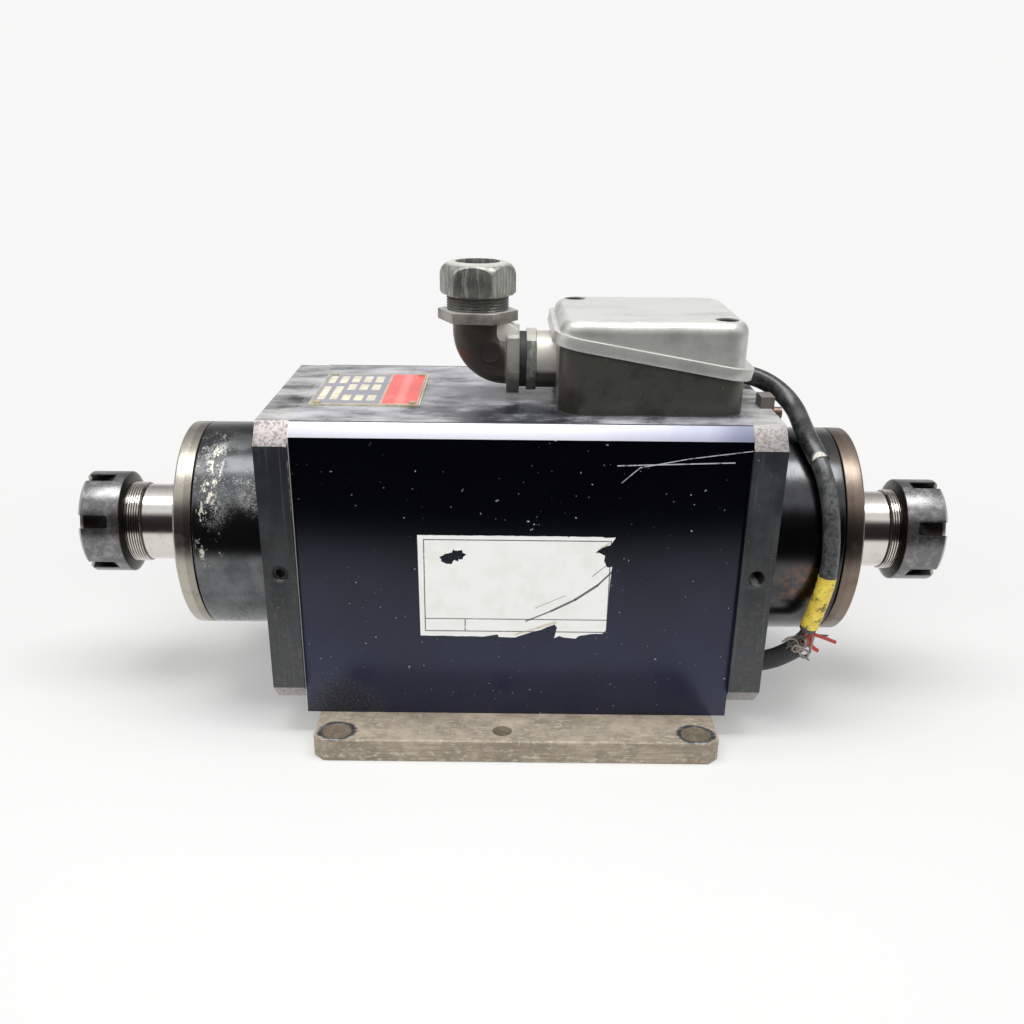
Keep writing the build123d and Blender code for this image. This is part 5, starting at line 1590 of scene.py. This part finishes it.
@dataclass
class Labels:
    """The blank sticker on the front cover, torn along its edge and worn through in one place."""

    face: float = -82.5
    film: float = 0.18
    seed: int = 7
    corners: tuple[Span, ...] = (
        (-57.0, 128.0), (27.0, 128.0), (27.8, 127.5), (28.4, 128.0), (47.0, 127.9), (48.0, 127.4),
        (54.2, 127.7), (51.5, 123.2), (47.0, 121.6), (43.6, 119.0), (46.0, 118.1), (48.7, 116.7),
        (48.3, 113.6), (50.3, 109.5), (53.0, 110.1), (52.3, 99.7), (51.4, 70.2), (49.5, 68.0),
        (43.0, 67.9), (36.1, 66.6), (34.0, 64.8), (27.1, 65.4), (24.5, 66.4), (21.5, 64.9),
        (23.0, 71.8), (21.5, 73.7), (17.0, 71.9), (13.7, 70.2), (6.0, 67.9), (-1.3, 65.1),
        (-10.7, 65.3), (-11.5, 67.0), (-19.4, 65.5), (-56.4, 65.8),
    )
    fibre: float = 2.5
    rag: float = 0.14
    hole: Span = (-37.5, 115.0)
    hole_reach: float = 4.6
    hole_points: int = 26
    punch_gap: float = 0.5
    punch_depth: float = 1.5

    def outline(self) -> list[Point]:
        """Fray the straight runs between the corners.

        Returns:
            The sticker's torn outline, in metres.
        """
        chance = random.Random(self.seed)
        made = []
        for (x0, z0), (x1, z1) in zip(self.corners, self.corners[1:] + self.corners[:1]):
            steps = max(1, int(math.dist((x0, z0), (x1, z1)) / self.fibre))
            for index in range(steps):
                share = index / steps
                rag = 0.0 if index == 0 else chance.uniform(-self.rag, self.rag)
                made.append(mm(x0 + (x1 - x0) * share, self.face, z0 + (z1 - z0) * share + rag))
        return made

    def worn_hole(self) -> list[Point]:
        """Draw the ragged rim of the worn hole.

        Returns:
            The rim's points, in metres, on the punch's inner face.
        """
        chance = random.Random(self.seed + 1)
        rim = []
        for index in range(self.hole_points):
            angle = math.tau * index / self.hole_points
            reach = self.hole_reach + 1.9 * math.sin(2 * angle + 0.7) + chance.uniform(-0.9, 0.9)
            x, z = self.hole[0] + reach * 1.15 * math.cos(angle), self.hole[1] + reach * math.sin(angle)
            rim.append(mm(x, self.face + self.punch_gap, z))
        return rim

    def build(self) -> None:
        """Cut the sticker and punch its worn hole."""
        piece = Bench.slab("blank_sticker", self.outline(), (0, -self.film * MM, 0))
        Bench.carve(piece, Bench.slab("sticker_punch", self.worn_hole(), (0, -self.punch_depth * MM, 0)))
        Bench.dress(piece, BlankSticker("sticker_film").material(), "motor", "plate_metal")


@dataclass
class Leads:
    """The sensor lead, its sleeve and marker, and the braided lead that it is spliced to."""

    diameter: float = 10.0
    route: tuple[Point, ...] = (
        (127.0, 20.6, 198.2), (140.2, 20.6, 198.2), (152.4, 17.3, 194.6), (162.2, 10.4, 188.4),
        (168.1, 0.1, 181.4), (169.3, -13.3, 175.4), (170.4, -27.9, 169.9), (174.2, -40.9, 162.2),
        (177.3, -54.5, 149.8), (179.1, -64.1, 133.8), (180.1, -69.7, 116.1), (179.6, -71.1, 98.1),
        (176.8, -69.3, 80.8), (173.7, -66.5, 65.0),
    )
    braid_diameter: float = 12.4
    braid_route: tuple[Point, ...] = (
        (139.5, -54.8, 37.0), (148.5, -54.8, 37.0), (157.3, -54.8, 38.9), (165.0, -54.8, 42.3),
        (171.9, -55.1, 47.1),
    )
    braid_slack: float = 0.1
    sleeve_radius: float = 5.7
    sleeve_start_x: float = 134
    sleeve_end_z: float = 161.5
    tape_radius: float = 5.35
    tape_ridge: float = 0.12
    tape_heights: Span = (101.4, 69.5)
    tube_sides: int = 24
    wire_sides: int = 8
    seed: int = 11
    strand_count: int = 22
    strand_radius: float = 0.55
    curl_count: int = 16
    curl_radius: float = 0.7
    loose: tuple[tuple[str, Point, Point, Point], ...] = (
        ("red", (175.5, -66, 62.0), (183, -68, 60.5), (190.8, -69, 57.5)),
        ("red", (174, -65, 60), (176.5, -67, 53.0), (181.5, -67.5, 51.0)),
        ("screen", (175, -66, 66), (178.5, -68, 58.0), (176.5, -68, 53.0)),
        ("dark", (176, -65, 61), (182, -67, 61), (186.0, -68, 61.5)),
        ("dark", (170, -66, 60), (165, -68, 57), (161.5, -69, 53.0)),
        ("screen", (168.5, -66, 52), (171, -67, 48), (177.0, -67, 44.5)),
        ("screen", (170, -65, 60), (163.5, -66.5, 60), (159, -68, 57)),
    )
    loose_radius: float = 0.6
    insulated_radius: float = 1.15

    def curve(self, name: str, route: tuple[Point, ...], radius: float) -> bpy.types.Object:
        """Lay a smooth round curve whose control points are a route.

        Args:
            name: The new piece's name.
            route: The control points, in millimetres.
            radius: The lead's radius, in millimetres.

        Returns:
            The new curve.
        """
        data = bpy.data.curves.new(name, "CURVE")
        data.dimensions = "3D"
        spline = data.splines.new("NURBS")
        spline.points.add(len(route) - 1)
        for point, place in zip(spline.points, route):
            point.co = (*mm(*place), 1)
        spline.order_u = 3
        spline.use_endpoint_u = True
        spline.resolution_u = 12
        data.bevel_depth = radius * MM
        data.bevel_resolution = 10
        data.use_fill_caps = True
        return Bench.add(name, data)

    def centreline(self, route: tuple[Point, ...]) -> list[Vector]:
        """Find the smooth line that a route gives.

        Args:
            route: The control points, in millimetres.

        Returns:
            The line's points, in metres.
        """
        thin = self.curve("centreline", route, 0.0)
        thin.data.use_fill_caps = False
        bpy.context.view_layer.update()
        mesh = bpy.data.meshes.new_from_object(thin.evaluated_get(bpy.context.evaluated_depsgraph_get()))
        line = [vertex.co.copy() for vertex in mesh.vertices]
        bpy.data.objects.remove(thin)
        bpy.data.meshes.remove(mesh)
        return line

    @staticmethod
    def length(line: list[Vector]) -> float:
        """Return a line's length in metres."""
        return sum((b - a).length for a, b in zip(line, line[1:]))

    @staticmethod
    def below(line: list[Vector], height: float) -> int:
        """Return the place in a line of its first point below a height in millimetres."""
        return next(i for i, p in enumerate(line) if p.z < height * MM)

    @staticmethod
    def skin(name: str, line: list[Vector], radii: list[float], sides: int) -> bpy.types.Object:
        """Skin a mesh tube along a line, with its ends closed.

        Args:
            name: The new piece's name.
            line: The tube's middle, in metres.
            radii: The radius at each point, in millimetres.
            sides: How many sides the tube has.

        Returns:
            The new tube: its side faces row by row, then its first and last caps.
        """
        verts, faces = [], []
        side = (line[1] - line[0]).orthogonal().normalized()
        for index, here in enumerate(line):
            ahead = (line[min(index + 1, len(line) - 1)] - line[max(index - 1, 0)]).normalized()
            side = (side - ahead * side.dot(ahead)).normalized()
            other = ahead.cross(side)
            for angle in (math.tau * step / sides for step in range(sides)):
                verts.append(here + (side * math.cos(angle) + other * math.sin(angle)) * radii[index] * MM)
        for row in range(len(line) - 1):
            for step in range(sides):
                a, b = row * sides + step, row * sides + (step + 1) % sides
                faces.append((a, b, b + sides, a + sides))
        faces += [tuple(reversed(range(sides))), tuple(range((len(line) - 1) * sides, len(line) * sides))]
        mesh = bpy.data.meshes.new(name)
        mesh.from_pydata(verts, [], faces)
        return Bench.add(name, mesh)

    def tube(
        self, name: str, line: list[Vector], radii: list[float], finish: bpy.types.Material, slot: str,
        *nodes: str,
    ) -> None:
        """Make a sleeve along a line, with a map that runs along and around it.

        Args:
            name: The new piece's name.
            line: The sleeve's middle, in metres.
            radii: The radius at each point, in millimetres.
            finish: The sleeve's material.
            slot: The record's material slot.
            nodes: The nodes that it replaces.
        """
        rows, sides = len(line) - 1, self.tube_sides
        piece = self.skin(name, line, radii, sides)
        coords = [
            place for row in range(rows) for step in range(sides)
            for place in ((row, step), (row, step + 1), (row + 1, step + 1), (row + 1, step))
        ]
        coords += [(0, step) for step in reversed(range(sides))] + [(rows, step) for step in range(sides)]
        for loop, (row, step) in zip(piece.data.uv_layers.new(name="UVMap").data, coords):
            loop.uv = (row / rows, step / sides)
        Bench.dress(Bench.smooth(Bench.heal(piece), 50), finish, "motor", slot, *nodes)

    def build(self) -> None:
        """Lay both leads and their splice."""
        jacket = PlainCoat(
            "lead_jacket_vinyl", (0.036, 0.037, 0.038), (0.095, 0.098, 0.10), 0.3, grain=3.0, depth=0.06
        )
        lead = self.curve("sensor_lead_jacket", self.route, self.diameter / 2)
        Bench.dress(lead, jacket.material(), "motor", "lead_jacket", "sensor_lead")
        line = self.centreline(self.route)
        start = next(i for i, p in enumerate(line) if p.x > self.sleeve_start_x * MM)
        span = line[start:self.below(line, self.sleeve_end_z) + 1]
        sleeve = LeadSleeve("lead_sleeve_shrink").material()
        self.tube("lead_sleeve", span, [self.sleeve_radius] * len(span), sleeve, "lead_jacket")
        start, end = (self.below(line, height) for height in self.tape_heights)
        span = line[start:end + 1]
        wound = [self.tape_radius + self.tape_ridge * (i % 4 == 0) for i in range(len(span))]
        self.tube("lead_marker_tape", span, wound, MarkerTape("marker_tape_yellow").material(), "lead_jacket")
        braid, radius = self.centreline(self.braid_route), self.braid_diameter / 2 - self.braid_slack
        weave = BraidWeave("braid_weave").material()
        self.tube("braid_sleeve", braid, [radius] * len(braid), weave, "lead_braid", "braided_lead")
        carried = ["lead_sleeve", "lead_marker_tape", "braid_sleeve", *self.strands()]
        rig.cord(
            lead, exit=tuple(line[0]), length=self.length(line), diameter=self.diameter * MM,
            far_end="object", stiffness="limp", lay="hanging", with_pieces=carried,
        )

    def strands(self) -> list[str]:
        """Fray loose wires between the two leads' ends.

        Returns:
            The names of the wire pieces, one for each colour.
        """
        chance = random.Random(self.seed)
        coats = {
            "red": PlainCoat("wire_red", (0.52, 0.055, 0.045), (0.34, 0.05, 0.045), 0.45, grain=1.0),
            "dark": PlainCoat("wire_dark", (0.03, 0.03, 0.03), (0.09, 0.085, 0.08), 0.5, grain=1.0),
            "screen": PlainCoat("wire_screen", (0.40, 0.36, 0.32), (0.10, 0.085, 0.075), 0.45, 0.5, 0.6),
        }
        finishes = {kind: coat.material() for kind, coat in coats.items()}
        wires = {kind: [] for kind in coats}
        for index in range(self.strand_count):
            kind = ("dark", "screen", "red")[index % 3 if index % 5 else 0]
            radius = self.strand_radius + 0.2 * (index % 2)
            wires[kind].append(self.strand(f"strand_{index:02d}", chance, radius))
        for index, (kind, *points) in enumerate(self.loose):
            radius = self.insulated_radius if kind == "red" else self.loose_radius
            wires[kind].append(self.wire(f"loose_{index:02d}", [Vector(mm(*p)) for p in points], radius))
        for index in range(self.curl_count):
            wires["screen"].append(self.curl(f"curl_{index:02d}", chance))
        for kind, pieces in wires.items():
            Bench.hold(*pieces)
            bpy.ops.object.join()
            pieces[0].name = f"wires_{kind}"
            stands_for = ["wire_fray"] if kind == "dark" else []
            Bench.dress(pieces[0], finishes[kind], "motor", "wire_copper", *stands_for)
        return [f"wires_{kind}" for kind in wires]

    @staticmethod
    def jitter(chance: random.Random, x: Span, y: Span, z: Span) -> Vector:
        """Return a random step, in metres, from three ranges in millimetres."""
        return Vector((chance.uniform(*x), chance.uniform(*y), chance.uniform(*z))) * MM

    def strand(self, name: str, chance: random.Random, radius: float) -> bpy.types.Object:
        """Bow one thin wire between the two leads' ends.

        Args:
            name: The wire's name.
            chance: Where its random places come from.
            radius: The wire's radius, in millimetres.

        Returns:
            The bowed wire.
        """
        top, low = Vector(mm(*self.route[-1])), Vector(mm(*self.braid_route[-1]))
        spread = self.jitter(chance, (-3.6, 3.6), (-3.2, 3.2), (-1.5, 1.5))
        drop = self.jitter(chance, (-4.5, 3.0), (-4, 4), (-4, 4))
        start, end = top + spread + Vector(mm(0, 0, 3)), low + drop
        bow = (start + end) / 2 + self.jitter(chance, (-3, 6), (-7, 1), (-4, 2))
        return self.wire(name, [start, bow, end], radius)

    def wire(self, name: str, points: list[Vector], radius: float, steps: int = 12) -> bpy.types.Object:
        """Bend one thin wire through three points.

        Args:
            name: The wire's name.
            points: Its start, the point that it bends towards and its end, in metres.
            radius: The wire's radius, in millimetres.
            steps: How many straight runs the bend has.

        Returns:
            The bent wire.
        """
        line = []
        for t in (step / steps for step in range(steps + 1)):
            line.append(points[0] * (1 - t) ** 2 + points[1] * (2 * t * (1 - t)) + points[2] * t**2)
        return self.thin(name, line, radius)

    def curl(self, name: str, chance: random.Random, steps: int = 18) -> bpy.types.Object:
        """Curl one thin wire round a place in the splice.

        Args:
            name: The wire's name.
            chance: Where its random places come from.
            steps: How many straight runs the curl has.

        Returns:
            The curled wire.
        """
        centre = Vector(mm(chance.uniform(165.5, 175.5), chance.uniform(-67.5, -58), chance.uniform(46, 60)))
        axis = Vector((chance.uniform(-0.5, 0.5), -1.0, chance.uniform(-0.5, 0.5))).normalized()
        reach, sweep = chance.uniform(2.2, 4.2), chance.uniform(0.55, 0.95)
        across = axis.orthogonal().normalized()
        other = axis.cross(across)
        line = []
        for step in range(steps + 1):
            angle = math.tau * sweep * step / steps
            spread = reach * MM * (0.75 + 0.35 * step / steps)
            arm = (across * math.cos(angle) + other * math.sin(angle)) * spread
            line.append(centre + arm + axis * MM * step * 0.12)
        return self.thin(name, line, self.curl_radius)

    def thin(self, name: str, line: list[Vector], radius: float) -> bpy.types.Object:
        """Return a thin wire along a line, of one radius in millimetres."""
        return Bench.smooth(Bench.heal(self.skin(name, line, [radius] * len(line), self.wire_sides)), 60)


@dataclass
class InnerWorks:
    """Finishes of the pieces that stay as they are."""

    finishes: dict[str, bpy.types.Material] = field(default_factory=dict)

    def build(self) -> None:
        """Give every carried-over node its material."""
        coats = {
            "shaft": TurnedSteel(
                "shaft_ground", tone=(0.72, 0.69, 0.64), stained=0.25, rough=0.16, marks=0.5, valley=0.8
            ),
            "bearing": PlainCoat(
                "bearing_steel", (0.62, 0.62, 0.63), (0.5, 0.5, 0.51), 0.14, 1.0, depth=0.005
            ),
            "screw": PlainCoat(
                "black_screw", (0.035, 0.035, 0.037), (0.09, 0.085, 0.08), 0.4, 0.7, depth=0.03
            ),
            "core": PlainCoat(
                "stacked_sheets", (0.20, 0.19, 0.19), (0.10, 0.095, 0.09), 0.45, 0.7, 0.5, 0.08,
                (12, 0.2, 0.2),
            ),
            "copper": PlainCoat(
                "winding_copper", (0.46, 0.19, 0.075), (0.30, 0.11, 0.04), 0.38, 0.6, 0.9, 0.15, (1, 6, 1)
            ),
            "rubber": PlainCoat("seal_rubber_black", (0.014, 0.014, 0.015), (0.035, 0.035, 0.035), 0.62),
            "gasket": PlainCoat("gasket_fibre_grey", (0.05, 0.047, 0.042), (0.10, 0.095, 0.085), 0.8),
            "cage": PlainCoat("cage_resin", (0.34, 0.24, 0.12), (0.24, 0.16, 0.08), 0.55),
            "board": PlainCoat("board_resin", (0.06, 0.035, 0.02), (0.10, 0.06, 0.04), 0.45),
            "plate": BlankRatingPlate("rating_plate_bare"),
            "pin": PlainCoat("rating_pin_brass", (0.66, 0.60, 0.42), (0.40, 0.34, 0.20), 0.35, 0.5),
            "brass": PlainCoat("clip_screw_copper", (0.25, 0.165, 0.13), (0.13, 0.085, 0.065), 0.4, 0.7),
            "gland": CastAluminium("lead_gland_metal", tone=(0.30, 0.30, 0.28), grain=1.4),
            "clip": WornPaint("clip_paint", paint=(0.10, 0.082, 0.07), haze=(0.16, 0.14, 0.125), edge_wear=0),
        }
        self.finishes = {kind: coat.material() for kind, coat in coats.items()}
        groups = {
            "shaft": ["spindle_shaft", "left_collet", "right_collet"],
            "bearing": [f"{s.word}_bearing_{k}" for s in Side for k in ("inner", "outer", "balls")],
            "screw": ["base_screws", "plate_screws", "ring_screws", "box_screws", "lid_screws", "port_plug",
                      "left_bearing_nut", "right_bearing_nut", "preload_spring"],
            "core": ["stator_core", "rotor_core"],
            "copper": ["stator_windings", "terminal_studs"],
            "rubber": ["gland_seal", "left_shaft_seal", "right_shaft_seal", "braid_grommet", "elbow_washer"],
            "gasket": ["jacket_gaskets", "box_gasket", "lid_gasket"],
            "cage": ["left_bearing_cage", "right_bearing_cage"],
            "board": ["terminal_board"],
            "plate": ["rating_plate"],
            "pin": ["rating_pins", "rotor_end_rings"],
            "brass": ["clip_screw"],
            "gland": ["lead_gland", "gland_thrust_ring"],
            "clip": ["cable_clip"],
        }
        for kind, nodes in groups.items():
            for node in nodes:
                Bench.coat(frame["nodes"][node], self.finishes[kind])
                LOG.info("%s in %s", node, self.finishes[kind].name)


@dataclass
class Studio:
    """Camera, floor, backdrop light and lamps."""

    lens: float = 37.717
    sensor: float = 36.0
    place: Point = (-9.217, -647.128, 336.697)
    tilt: Point = (65.10201, -0.54106, 0.278809)  # degrees
    shift: Span = (0.0106, 0.1078)
    white: Colour = (0.93, 0.935, 0.925)
    floor_tone: Colour = (0.74, 0.74, 0.735)
    floor_size: float = 12
    ambient: float = 0.46
    ceiling: tuple[Span, ...] = (
        (0.0, 0.02), (0.19, 0.03), (0.24, 0.55), (0.27, 0.95), (0.34, 0.80), (0.46, 0.95),
        (0.60, 0.95), (0.70, 0.60), (0.84, 0.34), (0.93, 0.62), (1.0, 0.9),
    )
    lamps: tuple[tuple[str, Point, Point, Span, float], ...] = (
        ("overhead", (0.0, -0.10, 1.25), (0.0, 0.0, 0.1), (1.5, 0.42), 13.8),
        ("front", (-0.1, -0.95, 0.75), (0.0, -0.1, 0.1), (1.6, 0.4), 5.6),
    )

    def camera(self) -> None:
        """Stand the camera."""
        data = bpy.data.cameras.new("camera")
        data.lens, data.sensor_width = self.lens, self.sensor
        data.shift_x, data.shift_y = self.shift
        data.clip_start, data.clip_end = 0.02, 30
        camera = Bench.add("camera", data)
        turn = Euler([math.radians(angle) for angle in self.tilt]).to_matrix()
        camera.matrix_world = Matrix.Translation(mm(*self.place)) @ turn.to_4x4()
        bpy.context.scene.camera = camera

    def lamp(self, name: str, place: Point, aim: Point, size: Span, power: float) -> None:
        """Hang one soft rectangular lamp.

        Args:
            name: The lamp's name.
            place: Where it hangs, in metres.
            aim: The point that it faces, in metres.
            size: Its width and height, in metres.
            power: Its power, in watts.
        """
        data = bpy.data.lights.new(name, "AREA")
        data.shape = "RECTANGLE"
        data.size, data.size_y = size
        data.energy = power
        lamp = Bench.add(name, data)
        lamp.location = place
        lamp.rotation_euler = (Vector(aim) - Vector(place)).to_track_quat("-Z", "Y").to_euler()
        lamp.visible_camera = False
        lamp.visible_glossy = name == "overhead"

    def floor(self) -> None:
        """Lay the pale floor, which fades into the backdrop and keeps the shadow."""
        Bench.clear()
        bpy.ops.mesh.primitive_plane_add(size=self.floor_size, location=(0, 0, 0))
        piece = bpy.context.object
        piece.name = "floor"
        g = Graph("floor_white")
        g.finish(Base_Color=self.floor_tone, Roughness=0.8, Specular_IOR_Level=0.0)
        camera, glossy = g.rays()
        far = g.ease(g.reach(g.x, g.y), 0.26, 0.62)
        front = g.ease(0.0 - g.y, 0.24, 0.46)
        share = camera * (0.30 + 0.70 * far) + glossy * g.high(0.82 + 0.18 * far, front)
        colour = g.mix(front * glossy, self.white, (0.02, 0.02, 0.022))
        glow = g.node("ShaderNodeEmission", {}, Color=colour)
        blend = g.node("ShaderNodeMixShader", {}, Fac=share)
        g.tree.links.new(g.shader.outputs[0], blend.inputs[1])
        g.tree.links.new(glow.outputs[0], blend.inputs[2])
        g.tree.links.new(blend.outputs[0], g.tree.nodes["Material Output"].inputs[0])
        piece.data.materials.append(g.material)
        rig.stage(piece)

    def world(self) -> None:
        """Fill the surroundings with pale light that steel shows as a bright ceiling and a dark front."""
        world = bpy.data.worlds.new("surroundings")
        bpy.context.scene.world = world
        world.use_nodes = True
        w = Wiring(world.node_tree)
        camera, glossy = w.rays()
        heading = w.node("ShaderNodeTexCoord")
        _, y, z = w.axes(Value(w, heading.outputs["Generated"]))
        rise = w.math("ARCTAN2", z, 0.0 - y) / math.pi
        stops = [(place, (level, level, level * 1.01)) for place, level in self.ceiling]
        room = Value(w, w.node("ShaderNodeValToRGB", {"stops": stops}, Fac=rise).outputs[0])
        colour = w.mix(glossy, (self.ambient,) * 3, room)
        colour = w.mix(camera, colour, self.white)
        w.feed(w.tree.nodes["Background"].inputs["Color"], colour)

    def build(self) -> None:
        """Set the stage."""
        self.camera()
        self.floor()
        self.world()
        for lamp in self.lamps:
            self.lamp(*lamp)
        bpy.context.scene.view_settings.view_transform = "Standard"


def main() -> None:
    """Build the studio, the leads and every sub-assembly in order."""
    logging.basicConfig(level=logging.INFO, format="%(name)s: %(message)s")
    Studio().build()
    Leads().build()
    Casework().build()
    TerminalBox().build()
    Labels().build()
    inner = InnerWorks()
    inner.build()
    shaft = Bench.replica("spindle_shaft", "shaft_threaded")
    for nose in (Nose(Side.LEFT, 254.0, 3.4), Nose(Side.RIGHT, 251.4, 0.0)):
        nose.thread(shaft)
        nose.nut()
    Bench.dress(Bench.smooth(shaft, 35), inner.finishes["shaft"], "spindle", "ground_steel", "spindle_shaft")
    with open("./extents.json", "w") as file:
        json.dump({"cad": CAD_BOX, "visual": [list(corner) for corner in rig.bounds()]}, file)


if __name__ == "__main__":
    main()
